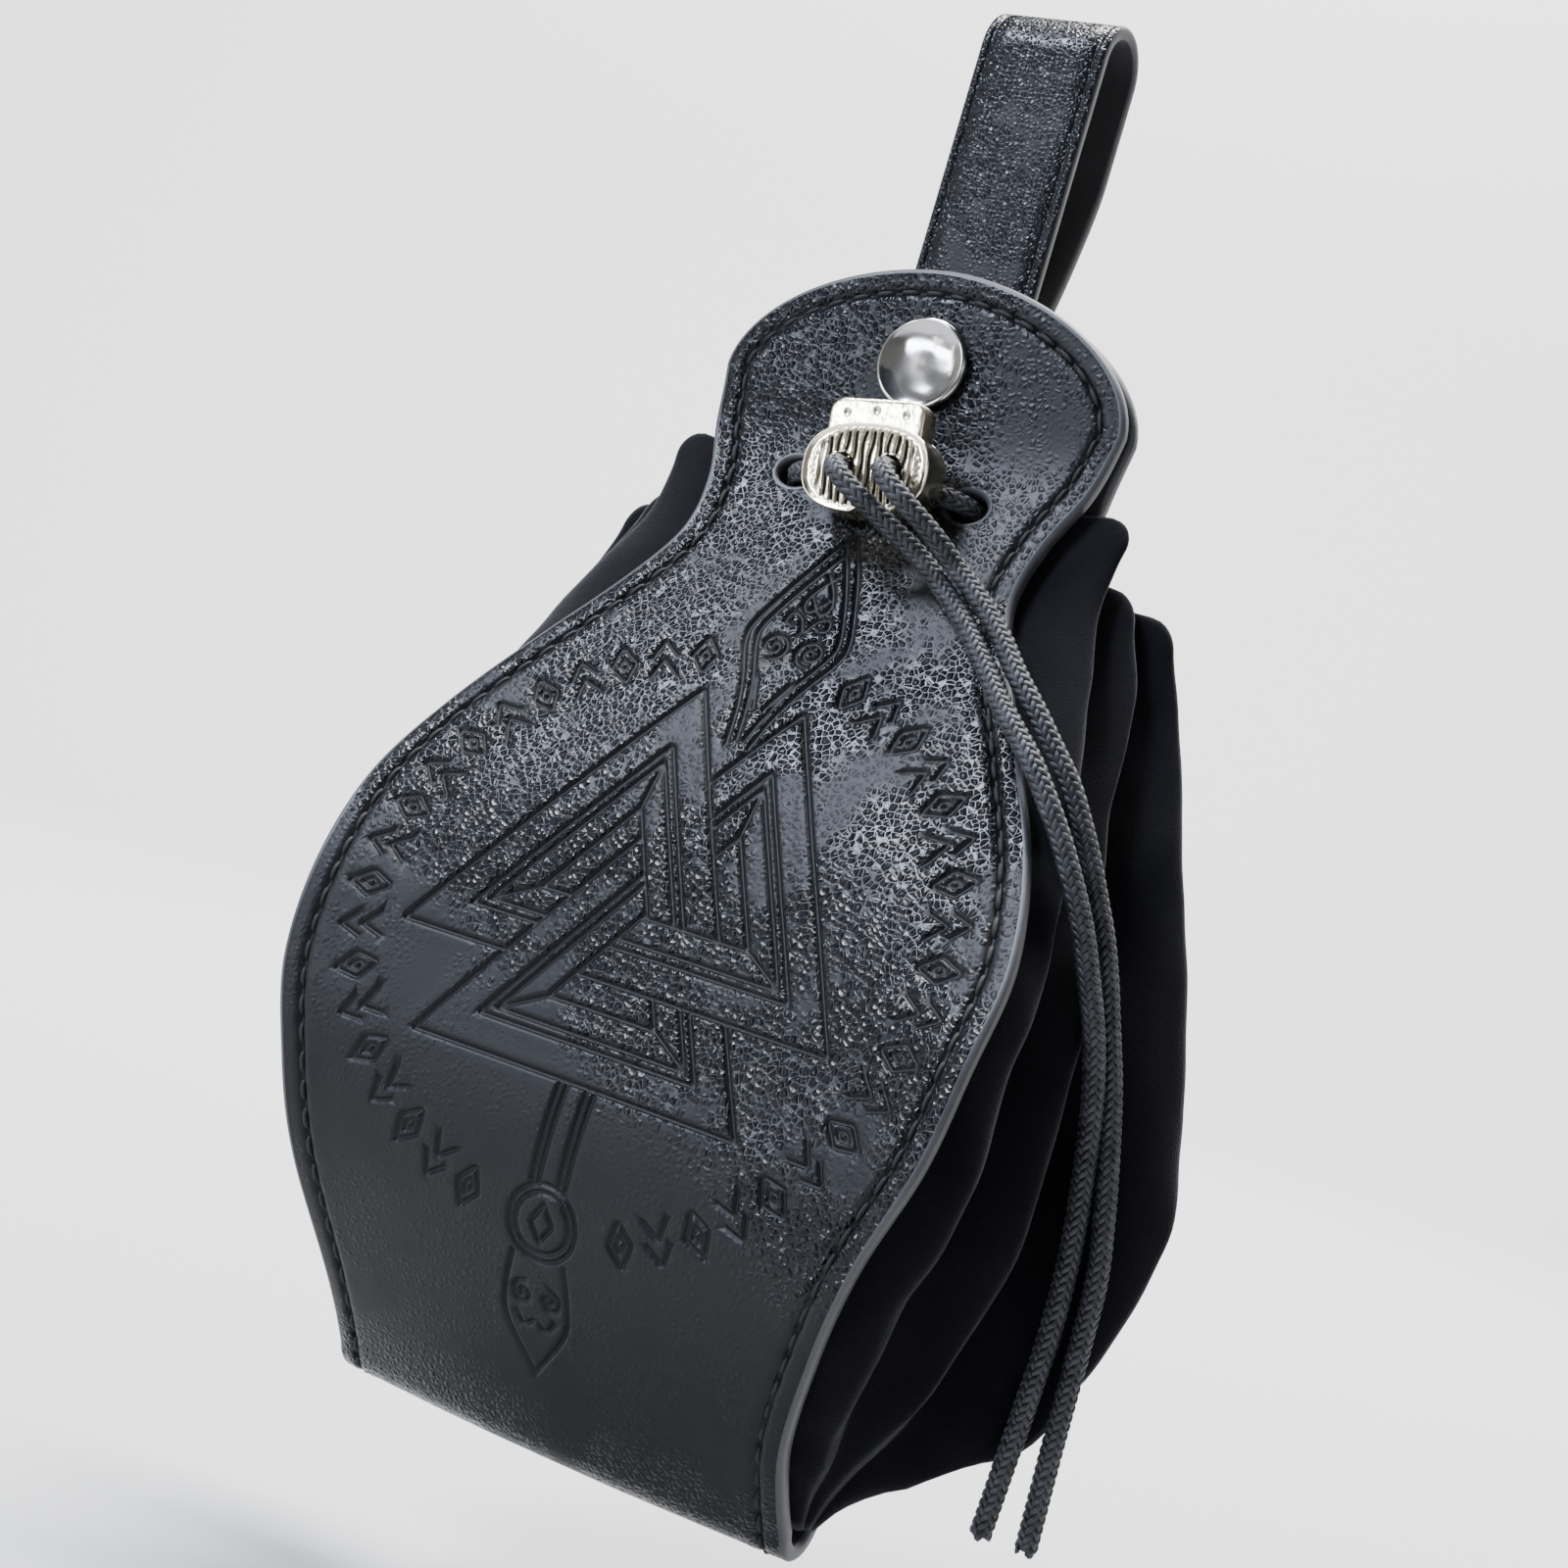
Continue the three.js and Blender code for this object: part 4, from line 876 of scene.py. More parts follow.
for side in (-1, 1):
    mirror = np.array([side, 1.0])
    strokes += [stroke(soft_curve(line, 80) * mirror) for line in (BLADE, BLADE_LINING)]
    strokes.append(stroke(spiral(3.15 * side, 67.0, 2.5, 1.8, math.pi / 2, side)))
    strokes += [stroke(soft_curve(line) * mirror) for line in BLADE_ARCS]
    strokes += [stroke(np.asarray(line) * mirror) for line in SHAFT_LINES]
    strokes.append(stroke(soft_curve(DROP) * mirror))
    strokes.append(stroke(spiral(2.3 * side, 171.4, 2.0, 1.5, -math.pi / 2, side)))
    strokes.append(stroke(soft_curve(DROP_ARC) * mirror))
strokes += [stroke(ring(0, RING_AT, radius)) for radius in RING_RADII] + [stroke(RING_LOZENGE)]
print("the drop ends at s", DROP[-1][1], "mm")

# %% Circle of lozenges and chevrons
CIRCLE_MIDDLE = np.array([0.0, 115.0])
CIRCLE_RADIUS = 45.3
SIGNS_PER_SIDE, FIRST_SIGN, SIGN_STEP = 19, 16.5, 8.15
LOZENGE = [(0, -3.4), (2.0, 0), (0, 3.4), (-2.0, 0), (0, -3.4)]
LOZENGE_EYE = [(0, -1.2), (0.7, 0), (0, 1.2), (-0.7, 0), (0, -1.2)]
CHEVRONS = [[(-1.9, 3.3), (0, 0.3), (1.9, 3.3)], [(-1.9, -0.2), (0, -3.2), (1.9, -0.2)]]
for side in (-1, 1):
    for k in range(SIGNS_PER_SIDE):
        across = towards(side * (FIRST_SIGN + SIGN_STEP * k))
        out = np.array([across[1], -across[0]])
        for line in [LOZENGE, LOZENGE_EYE] if k % 2 == 0 else CHEVRONS:
            line = np.asarray(line)
            place = CIRCLE_MIDDLE + out * CIRCLE_RADIUS + line[:, :1] * across - line[:, 1:] * out
            strokes.append(stroke(place))
print("ornament:", len(strokes), "lines,", round(sum(map(len, strokes)) * STROKE_STEP), "mm")

# %% [markdown]
# ## Skin of the strip
# The line of stitches runs 3.9 mm inside the edge in a groove, with a slightly raised margin
# outside. Points are crowded along the groove and the tooled lines only. The leather also gives a
# little, so slow dents of a few tenths of a millimetre keep the highlights alive.

# %% Press the skin
LINE_HALF, LINE_DEPTH = 0.5, 0.55
STITCH_INSET, STITCH_HALF, STITCH_GROOVE = 3.9, 0.7, 0.5
STITCH_PITCH, STITCH_SHOWN, THREAD = 4.2, 3.1, 0.4
PIT_DEPTH, PIT_RADIUS = 0.45, 0.85
# height, distance from the line, half width
LINE_RIM = (0.07, 0.95, 0.45)
SEAM_RIM = (0.1, 1.6, 0.9)
# size across, height, seed
SLOW_DENTS, SMALL_DENTS = (26.0, 0.3, 1.7), (9.0, 0.06, 5.1)
outline_normals = loop_normals(outline)


def near_tree(points):
    """Search tree of flat points."""
    tree = kdtree.KDTree(len(points))
    for k, (x, s) in enumerate(points):
        tree.insert((x, s, 0), k)
    tree.balance()
    return tree


def distance_to(tree, points):
    """Distance of each flat point from a tree's nearest."""
    return np.array([tree.find((x, s, 0))[2] for x, s in points])


line_tree = near_tree(np.vstack([stroke(s, 0.12) for s in strokes]))
stitch_loop = even_loop(outline + outline_normals * STITCH_INSET, 0.3)
stitch_tree = near_tree(stitch_loop)


def even_marks(loop, pitch):
    """Evenly spaced marks along a closed line."""
    closed = closed_line(loop)
    length = way_along(closed)[-1]
    count = int(round(length / pitch))
    return at_way(closed, np.arange(count) * length / count)


pit_tree = near_tree(even_marks(stitch_loop, STITCH_PITCH))


def dip(distance, half):
    """Rounded groove profile: 1 in its middle, 0 at its edge."""
    return np.clip(1 - (distance / half) ** 2, 0, 1) ** 1.5


def dents(points, size, height, seed):
    """Slow dents of soft leather."""
    return np.array([height * noise.noise((x / size, s / size, seed)) for x, s in points])


def press_strip(points):
    """Depth of the strip's outer face."""
    line = distance_to(line_tree, points)
    seam = distance_to(stitch_tree, points)
    depth = LINE_DEPTH * dip(line, LINE_HALF) + STITCH_GROOVE * dip(seam, STITCH_HALF)
    depth += PIT_DEPTH * dip(distance_to(pit_tree, points), PIT_RADIUS)
    for distance, (height, away, half) in ((line, LINE_RIM), (seam, SEAM_RIM)):
        depth -= height * dip(np.abs(distance - away), half)
    return depth + dents(points, *SLOW_DENTS) + dents(points, *SMALL_DENTS)


def crowd(line, offsets):
    """Points beside a line at some distances from it."""
    run = np.gradient(line, axis=0)
    run /= np.maximum(np.linalg.norm(run, axis=1), 1e-9)[:, None]
    normal = np.stack([-run[:, 1], run[:, 0]], 1)
    return [line + normal * offset for offset in offsets]


tooling = [stroke(s, 0.5) for s in strokes]
beside = [p for line in tooling for p in crowd(line, (-0.26, 0.26))]
beside += [p for line in tooling for p in crowd(line, (-0.52, 0.52, -0.85, 0.85))]
tool_points = thin_out(np.vstack(tooling + beside), 0.19)
EDGE_CLEARANCE, SEAM_CLEARANCE, TOOL_CLEARANCE = 6.3, 2.2, 1.15
FRONT_END, FRONT_STEP, REAR_STEP, INSIDE_STEP = 215, 1.9, 3.6, 6.0
seam_insets = (1.7, 2.4, 3.1, 3.4, 3.65, 3.9, 4.15, 4.4, 4.7, 5.5)
seam_points = np.vstack([outline + outline_normals * inset for inset in seam_insets])


def grid_points(low, high, step):
    """Points of an even grid well inside the strip's edge and clear of its tooling."""
    s = np.arange(low, high, step)
    x = np.arange(-PANEL_HALF_WIDTH, PANEL_HALF_WIDTH, step)
    x, s = np.meshgrid(x, s)
    x = x + (np.round(s / step) % 2) * step / 2
    p = np.stack([x.ravel(), s.ravel()], 1)
    half = np.interp(p[:, 1], strip[:, 0], strip[:, 4])
    p = p[np.abs(p[:, 0]) < half - EDGE_CLEARANCE]
    seam = distance_to(stitch_tree, p)
    line = distance_to(line_tree, p)
    return p[(seam > SEAM_CLEARANCE) & (line > TOOL_CLEARANCE)]


front_points = np.vstack([seam_points, tool_points, grid_points(1, FRONT_END, FRONT_STEP),
                          grid_points(FRONT_END, STRIP_LENGTH, REAR_STEP)])
back_points = np.vstack([outline + outline_normals * STITCH_INSET,
                         grid_points(1, STRIP_LENGTH, INSIDE_STEP)])
print("points on the outer face:", len(front_points))


def clockwise_oval(x, s, half_x, half_s, count):
    """Hole in a sheet."""
    t = -2 * math.pi * np.arange(count) / count
    return np.stack([x + half_x * np.cos(t), s + half_s * np.sin(t)], 1)


SLOT_SIDE, SLOT_BELOW_ORIGIN, SLOT_HALF_LENGTH, SLOT_HALF_WIDTH = 15, 80.2, 3.2, 2.5
STUD_DROP, STUD_HOLE, POST_HOLE = 15.5, 2.9, 2.3
front_strip = strip[:PANEL_STEPS]
SLOT_PLACE = float(np.interp(SLOT_BELOW_ORIGIN, -front_strip[:, 2], front_strip[:, 0]))
holes = [clockwise_oval(x, SLOT_PLACE, SLOT_HALF_LENGTH, SLOT_HALF_WIDTH, 28)
         for x in (-SLOT_SIDE, SLOT_SIDE)]
holes += [clockwise_oval(0, STUD_DROP, STUD_HOLE, STUD_HOLE, 24),
          clockwise_oval(0, STRIP_LENGTH - STUD_DROP, POST_HOLE, POST_HOLE, 20)]
print("slots lie at s", round(SLOT_PLACE, 1), "mm")


def clear_of_holes(points):
    """Points that stay clear of the holes and their rims."""
    keep = np.ones(len(points), bool)
    for hole in holes:
        middle = hole.mean(axis=0)
        keep &= np.linalg.norm(points - middle, axis=1) > np.abs(hole - middle).max() + 1.0
    return points[keep]


RIM_RADIUS = 0.85
flat, depth, faces, kinds = cut_sheet([outline, *holes], RIM_RADIUS, THICK,
                                      clear_of_holes(front_points), clear_of_holes(back_points),
                                      press_strip)
skin = make_piece("leather_strip", on_strip(flat[:, 0], flat[:, 1], depth),
                  [f[::-1] for f in faces], [leather, edge, flesh], kinds, solid=["leather_body"])

# %% [markdown]
# ### Flattened and shaded places
# The grain is flattened and the colour darkened low on the front and at the right of the neck. Low
# on the front, where the panel turns down from the light, the darker colour is painted shade. Both
# places have a soft, uneven border. The grooves are flattened by the tool. All of it goes into one
# point value.

# %% Mark the pressed, flattened and shaded places
LOW_FLAT_SHADE_FROM, LOW_FLAT_SHADE_SLOPE, LOW_FLAT_SHADE_FADE, LOW_FLAT_SHADE_END, LOW_FLAT_SHADE_END_FADE = 127, 0.5, 16, 205, 20
NECK_FLAT_DARK_FROM, NECK_FLAT_DARK_FADE, NECK_FLAT_DARK_END, NECK_FLAT_DARK_END_FADE = 7, 8, 60, 14
FLAT_AND_DARK_SHARE, NECK_SHARE, FLAT_DARK_DRIFT = 0.56, 0.8, (11.0, 9.0, 3.3)


def soft_step(value):
    """Smooth rise from 0 to 1."""
    value = np.clip(value, 0, 1)
    return value * value * (3 - 2 * value)


x, s = flat.T
drift = dents(flat, *FLAT_DARK_DRIFT)
flat_shaded_low = (soft_step((s - LOW_FLAT_SHADE_FROM - LOW_FLAT_SHADE_SLOPE * x + drift) / LOW_FLAT_SHADE_FADE)
              * soft_step((LOW_FLAT_SHADE_END - s) / LOW_FLAT_SHADE_END_FADE))
flat_dark_neck = (NECK_SHARE * soft_step((x - NECK_FLAT_DARK_FROM + drift / 2) / NECK_FLAT_DARK_FADE)
               * soft_step((NECK_FLAT_DARK_END - s) / NECK_FLAT_DARK_END_FADE))
in_groove = (dip(distance_to(line_tree, flat), LINE_HALF * 1.2)
             + dip(distance_to(stitch_tree, flat), STITCH_HALF))
# The point value "pressed" flattens the grain and darkens the leather's colour. Low on the front,
# where the panel turns down from the light, and in the grooves, this darkening is painted shade.
flat_and_dark = np.maximum(flat_shaded_low, flat_dark_neck) * FLAT_AND_DARK_SHARE
keep_value(skin, "pressed", np.clip(np.maximum(flat_and_dark, in_groove), 0, 1))
print("rubbed points:", int((flat_and_dark > FLAT_AND_DARK_SHARE / 2).sum()))

# %% [markdown]
# ## Stitches
# A lockstitch of thick waxed thread: each stitch shows as a short dark dash 3 mm long that dives
# into a pit in the leather at both ends. Each is a little tube that follows the groove.

# %% Sew the strip
STITCH_SINK, STITCH_ARCH, STITCH_DIVE, END_TAPER = 0.36, 0.1, 0.75, 0.25
stitch_line = closed_line(stitch_loop)
seam_length = way_along(stitch_line)[-1]
stitches = int(round(seam_length / STITCH_PITCH))
share, sides = np.linspace(-1, 1, 9), 8
around = 2 * math.pi * np.arange(sides) / sides
sunk = (STITCH_SINK - STITCH_ARCH * np.cos(share * math.pi / 2)
        + STITCH_DIVE * np.abs(share) ** 5)
thin = (1 - END_TAPER * np.abs(share) ** 3)[:, None, None] * THREAD
points, faces = [], []
for k in range(stitches):
    x, s = at_way(stitch_line, (k + 0.5) * seam_length / stitches + share * STITCH_SHOWN / 2).T
    middle = on_strip(x, s, sunk) / MM
    up = middle - on_strip(x, s, sunk + 1.0) / MM
    ahead = unit(np.gradient(middle, axis=0))
    side = unit(np.cross(ahead, up))
    up = np.cross(side, ahead)
    tube = middle[:, None] + thin * (np.cos(around)[None, :, None] * side[:, None]
                                     + np.sin(around)[None, :, None] * up[:, None])
    faces += tube_faces(len(share), sides, k * len(share) * sides)
    points.append(tube.reshape(-1, 3) * MM)
make_piece("edge_stitches", np.vstack(points), faces, [thread])
print("the seam has", stitches, "stitches")

# %% [markdown]
# ## Pleated velvet sides
# Each side is one sheet of velvet, sewn between the front and the back leather and gathered by the
# cord at the mouth. It stands out in three pleats there, opens below into a soft bulge and closes
# at the fold. A table says how far each pleat reaches at each height; the sharp corners of the
# solid are rounded by cutting them off again and again, which is how folded cloth looks.

# %% Tables of the velvet
SEAM_LAP, GUSSET_REACH, PLEAT_DEPTH, VELVET, FOOT_CLEARANCE, SEAT = 4.5, 23.0, 13.0, 1.0, 1.6, 0.3
TOP_ROUNDING, CORNER_GAIN, CORNER_CUTS = 4.0, 2.6, 3
TOP_CROWDING = 1.35
CLOTH_DRAWN = 0.0008
PLEATS = ("first", "second", "third", "rear")
GUSSET_ROWS = np.array([
    # down, first, second, third, rear, fold, spread
    (0.17, 0.3, 0.5, 0.6, 0.82, 1, 0), (0.235, 0.39, 0.54, 0.61, 0.865, 1, 0),
    (0.295, 0.42, 0.6, 0.65, 0.86, 0.9, 0.15), (0.345, 0.33, 0.49, 0.585, 0.78, 0.78, 0.5),
    (0.417, 0.13, 0.25, 0.46, 0.61, 0.62, 0.9), (0.48, 0.05, 0.14, 0.38, 0.55, 0.54, 1),
    (0.557, 0.03, 0.13, 0.43, 0.545, 0.5, 1), (0.643, 0.04, 0.18, 0.57, 0.75, 0.42, 1),
    (0.702, 0.12, 0.26, 0.67, 0.925, 0.38, 1), (0.75, 0.155, 0.38, 0.75, 0.97, 0.3, 1),
    (0.797, 0.13, 0.41, 0.76, 1, 0.22, 1), (0.84, 0.13, 0.39, 0.72, 0.98, 0.16, 1),
    (0.888, 0.13, 0.35, 0.65, 0.94, 0.09, 1), (0.915, 0.11, 0.26, 0.48, 0.77, 0.04, 1),
    (0.942, 0.09, 0.17, 0.35, 0.5, 0, 1), (0.968, 0.04, 0.1, 0.16, 0.2, 0, 1),
    (1, 0, 0.02, 0.03, 0.03, 0, 1),
])
GUSSET_COLUMNS = [
    # follows, gathered, open, top
    ("seam", 0, 0, 0.185), ("first", 0.04, 0.1, 0.176), ("first", 0.31, 0.17, 0.18),
    ("fold_one", 0.31, 0.25, 0.205), ("fold_one", 0.49, 0.32, 0.23), ("second", 0.49, 0.4, 0.232),
    ("second", 0.66, 0.47, 0.234), ("fold_two", 0.66, 0.55, 0.237), ("fold_two", 0.82, 0.62, 0.24),
    ("third", 0.82, 0.7, 0.245), ("rear", 0.96, 0.87, 0.246), ("seam", 1, 1, 0.25),
]

# %% Room between the panels
reach = np.clip(1 - SEAM_LAP / np.maximum(strip[:, 4], 1), 0, 1)
reach = np.where(strip[:, 5] > 0, reach, 1)
lean = np.radians(strip[:, 3])
inner_y = strip[:, 1] - strip[:, 5] * reach ** 2 - np.sin(lean) * THICK
inner_z = strip[:, 2] + np.cos(lean) * THICK
lowest = int(np.argmin(inner_z))
front_room = (-inner_z[:lowest + 1], inner_y[:lowest + 1])
back_room = (inner_z[lowest:], inner_y[lowest:])
GUSSET_FOOT = inner_z[lowest] + VELVET + FOOT_CLEARANCE
fold_start = int(np.searchsorted(strip[:, 0], PANEL_LENGTH - FOLD_RADIUS / 2))
below_head = strip[HEAD_STEPS - 1:fold_start]
print("velvet ends at z", round(GUSSET_FOOT, 1), "mm")


# %% Build the velvet sides
def velvet_side(side, rows=110):
    """Middle surface of one velvet side, as a grid of points in mm."""
    height = HEAD_TOP_Z - GUSSET_FOOT
    seat = SEAT * 1.5 + VELVET / 2
    grid = []
    for follows, gathered, opened, top in GUSSET_COLUMNS:
        down = top + (1 - top) * np.linspace(0, 1, rows) ** TOP_CROWDING
        z = HEAD_TOP_Z - down * height
        value = {name: smooth_column(GUSSET_ROWS, k + 1, down)
                 for k, name in enumerate((*PLEATS, "fold", "spread"))}
        short = np.clip(TOP_ROUNDING - (down - top) * height, 0, TOP_ROUNDING)
        rounding = TOP_ROUNDING - np.sqrt(TOP_ROUNDING ** 2 - short ** 2)
        out = {name: value[name] * (GUSSET_REACH + CORNER_GAIN) - rounding for name in PLEATS}
        out["seam"] = np.full(rows, -SEAM_LAP)
        out["fold_one"] = np.minimum(out["first"], out["second"]) - value["fold"] * PLEAT_DEPTH
        out["fold_two"] = np.minimum(out["second"], out["third"]) - value["fold"] * PLEAT_DEPTH
        front = np.interp(-z, *front_room) + seat
        back = np.interp(z, *back_room) - seat
        share = gathered + (opened - gathered) * value["spread"]
        half = np.interp(-z, -below_head[:, 2], below_head[:, 4])
        grid.append(np.stack([half + out[follows], front + (back - front) * share, z], 1))
    grid = np.stack(grid, 1)
    for _ in range(CORNER_CUTS):
        near = grid[:, :-1] * 0.75 + grid[:, 1:] * 0.25
        far = grid[:, :-1] * 0.25 + grid[:, 1:] * 0.75
        middle = np.stack([near, far], 2).reshape(rows, -1, 3)
        grid = np.concatenate([grid[:, :1], middle, grid[:, -1:]], 1)
    grid[..., 0] *= side
    return grid


SLOW_FOLDS, SMALL_FOLDS = 1.4, 0.5


def crease(grid, side):
    """Small uneven folds of the cloth, calm at the seams and at the gathered mouth."""
    rows, columns = grid.shape[:2]
    normal = np.cross(np.gradient(grid, axis=0), np.gradient(grid, axis=1))
    normal /= np.maximum(np.linalg.norm(normal, axis=2), 1e-9)[..., None]
    open_share = np.clip((np.linspace(0, 1, rows) - 0.1) / 0.35, 0.12, 1)
    calm = np.minimum(1, np.minimum(np.arange(columns), columns - 1 - np.arange(columns)) / 8)
    bump = np.zeros((rows, columns))
    for r in range(rows):
        for c in range(columns):
            x, y, z = grid[r, c]
            slow = noise.noise((x / 15, y / 11 + side * 3, z / 30))
            fast = noise.noise((x / 5, y / 4, z / 13 + 7))
            bump[r, c] = SLOW_FOLDS * slow + SMALL_FOLDS * fast
    return grid + normal * (bump * open_share[:, None] * calm[None, :])[..., None]


for side, word in ((1, "right"), (-1, "left")):
    grid = crease(velvet_side(side), side)
    rows, columns = grid.shape[:2]
    faces = wrap_grid(rows, columns, close_columns=False)
    if side > 0:
        faces = faces[:, ::-1]
    cloth = make_piece("velvet_side_" + word, grid.reshape(-1, 3) * MM, faces.tolist(), [velvet],
                       solid=["gusset_" + word])
    thicken = cloth.modifiers.new("cloth thickness", "SOLIDIFY")
    thicken.thickness, thicken.offset = CLOTH_DRAWN, 0.0
    across = np.linalg.norm(np.diff(grid, axis=1), axis=2).sum(axis=1).max()

# %% [markdown]
# ## Belt loop
# A strap 21.7 mm wide is turned over at the top; both ends lie on each other behind the stud. Its
# section is a rectangle with rounded edges and a thin pressed line near each edge, carried along
# the middle line of the strap.

# %% Bend the strap
STRAP_WIDTH, STRAP, LOOP_GAP = 21.7, 2.2, 10.5
LOOP_ROWS = np.array([
    # down, share of the gap
    (0, 1), (0.22, 1), (0.38, 0.98), (0.58, 0.78), (0.78, 0.5), (0.93, 0.2), (1, 0.04),
])
STRAP_FOOT, LOOP_JOINT, LEG_STEPS = -68.8, -54.0, 60
leg_z = np.linspace(-LOOP_GAP / 2, LOOP_JOINT, LEG_STEPS)
rear_gap = LOOP_GAP * smooth_column(LOOP_ROWS, 1, np.linspace(0, 1, LEG_STEPS))
front_y = -LOOP_GAP / 2 - STRAP / 2
turn = np.linspace(math.pi, 0, 26)[1:-1]
strap_line = np.vstack([
    np.stack([np.full(70, front_y), np.linspace(STRAP_FOOT, -LOOP_GAP / 2, 70)], 1),
    np.stack([-front_y * np.cos(turn), -LOOP_GAP / 2 - front_y * np.sin(turn)], 1),
    np.stack([-LOOP_GAP / 2 + rear_gap + STRAP / 2, leg_z], 1),
    np.stack([np.full(14, -LOOP_GAP / 2 + rear_gap[-1] + STRAP / 2),
              np.linspace(LOOP_JOINT, STRAP_FOOT, 15)[1:]], 1),
])


def strap_section():
    """Section of the strap: across, and out from its middle; and what each side of it is."""
    half, out, round_edge = STRAP_WIDTH / 2, STRAP / 2, 0.75
    corner = np.radians(np.linspace(0, 90, 6))
    quarter = np.stack([half - round_edge + round_edge * np.cos(corner),
                        out - round_edge + round_edge * np.sin(corner)], 1)
    across = np.array([9.6, 9.35, 9.1, 8.85, 8.6, 6.5, 4.3, 2.1, 0])
    top = np.stack([across, out - 0.3 * dip(np.abs(across - 9.1), 0.5)], 1)
    right = np.vstack([quarter, top])
    upper = np.vstack([right, right[:-1][::-1] * (-1, 1)])
    lower = np.vstack([quarter, [[4.0, out], [0, out]]])
    lower = np.vstack([lower, lower[:-1][::-1] * (-1, 1)])[::-1] * (1, -1)
    section = np.vstack([upper, lower[(np.abs(lower[:, 0]) < half)]])
    _, first = np.unique(np.round(section, 4), axis=0, return_index=True)
    return section[np.sort(first)]


OUTER_FACE, INNER_FACE = 0.72, -0.9
section = strap_section()
ahead = unit(np.gradient(strap_line, axis=0))
out_y, out_z = -ahead[:, 1], ahead[:, 0]
points = np.stack([
    np.broadcast_to(section[:, 0], (len(strap_line), len(section))),
    strap_line[:, :1] + out_y[:, None] * section[None, :, 1],
    strap_line[:, 1:] + out_z[:, None] * section[None, :, 1],
], -1)
middles = (section[:, 1] + np.roll(section[:, 1], -1)) / 2
kinds_across = np.where(middles > OUTER_FACE, 0, np.where(middles < INNER_FACE, 2, 1))
kinds = [*np.tile(kinds_across, len(strap_line) - 1), 1, 1]
make_piece("belt_loop_strap", points.reshape(-1, 3) * MM,
           tube_faces(len(strap_line), len(section)), [strap_leather, edge, flesh], kinds,
           solid=["belt_loop"])

# %% [markdown]
# ## Press stud
# The cap is a shallow dish of polished nickel plate with a rolled rim; the post behind it ends in a
# domed rivet on the belt loop. Each is turned from a profile about the stud's axis, which runs from
# front to back.

# %% Turn the cap
stud_z = HEAD_TOP_Z - STUD_DROP
cap_back = HEAD_FRONT_Y - SEAT
cap_profile = soft_curve([
    (0.0, 0.95), (2.5, 1.0), (4.6, 1.16), (6.0, 1.42), (6.7, 1.66), (7.0, 1.7), (7.25, 1.58),
    (7.42, 1.25), (7.48, 0.85), (7.35, 0.35), (7.15, 0.0),
], 60)
tail = [(2.6, 0.0), (2.6, -3.2), (4.6, -3.2), (4.6, -3.75), (1.7, -3.75), (1.7, -0.6), (0.0, -0.6)]
profile = np.vstack([cap_profile, tail])


def turned(name, profile, solid, sides=96):
    """Piece turned about the stud's axis; the profile gives radius and y, from axis to axis."""
    around = 2 * math.pi * np.arange(sides) / sides
    rings = profile[1:-1]
    points = np.stack([rings[:, :1] * np.cos(around),
                       np.broadcast_to(rings[:, 1:], (len(rings), sides)),
                       stud_z + rings[:, :1] * np.sin(around)], -1).reshape(-1, 3)
    last = len(points)
    points = np.vstack([points, [0, profile[0, 1], stud_z], [0, profile[-1, 1], stud_z]])
    faces = wrap_grid(len(rings), sides)[:, ::-1].tolist()
    faces += [[last, k, (k + 1) % sides] for k in range(sides)]
    faces += [[last + 1, last - sides + (k + 1) % sides, last - sides + k] for k in range(sides)]
    return make_piece(name, points * MM, faces, [nickel], solid=[solid])


turned("stud_cap_dish", profile * (1, -1) + (0, cap_back), "stud_cap")

# %% Turn the post
post_low, post_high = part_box("stud_post")
y_front, y_rear = post_low[1] / MM, post_high[1] / MM
print("post runs from y", round(y_front, 2), "to", round(y_rear, 2), "mm")
NOSE, FLANGE, SHANK, RIVET = 1.4, 4.6, 2.0, 5.2
flange_front, flange_back, rivet_front = cap_back + 4.05, cap_back + 5.0, y_rear - 1.0
dome = soft_curve([(5.5, -0.95), (5.5, -0.6), (5.2, -0.3), (4.4, -0.15), (2.4, -0.03), (0.0, 0.0)],
                  30)
turned("stud_post_rivet", np.vstack([
    [(0.0, y_front), (1.0, y_front), (NOSE, y_front + 0.3), (NOSE, flange_front),
     (FLANGE, flange_front), (FLANGE, flange_back), (SHANK, flange_back), (SHANK, rivet_front),
     (RIVET, rivet_front)], dome + (0, y_rear)]), "stud_post")

# %% [markdown]
# ## Cord lock
# A cast oval barrel with a sprung button. The barrel is cut as a sheet with two holes; its face is
# slightly domed, with about a dozen cast grooves and a stippled crescent at each end. A
# pocket is cut out of it from above, where the button slides. The button's two holes are long, so
# the cord can pass in every position.

# %% Cast the barrel
LOCK_HALF_WIDTH, LOCK_HALF_HEIGHT, LOCK_DEPTH, LOCK_ROUNDNESS = 10.4, 6.9, 7.0, 2.6
LOCK_LEAN = math.radians(7)
HOLE_SIDE, HOLE_RADIUS = 3.95, 2.0
lock_low, lock_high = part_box("lock_body")
lock_middle = [(a + b) / 2 / MM for a, b in zip(lock_low, lock_high)]
print("lock's middle, mm:", [round(v, 2) for v in lock_middle])


def on_lock(x, z, y):
    """Places in metres of points of the leaning lock, from its own middle."""
    x, y, z = (np.asarray(v, float) for v in (x, y, z))
    cos, sin = math.cos(LOCK_LEAN), math.sin(LOCK_LEAN)
    return np.stack([lock_middle[0] + cos * x - sin * z, lock_middle[1] + y,
                     lock_middle[2] + sin * x + cos * z], -1) * MM


def oval_share(points):
    """How far out points lie in the barrel's oval: 0 in the middle, 1 on its edge."""
    n = LOCK_ROUNDNESS
    return (np.abs(points[:, 0] / LOCK_HALF_WIDTH) ** n
            + np.abs(points[:, 1] / LOCK_HALF_HEIGHT) ** n) ** (1 / n)


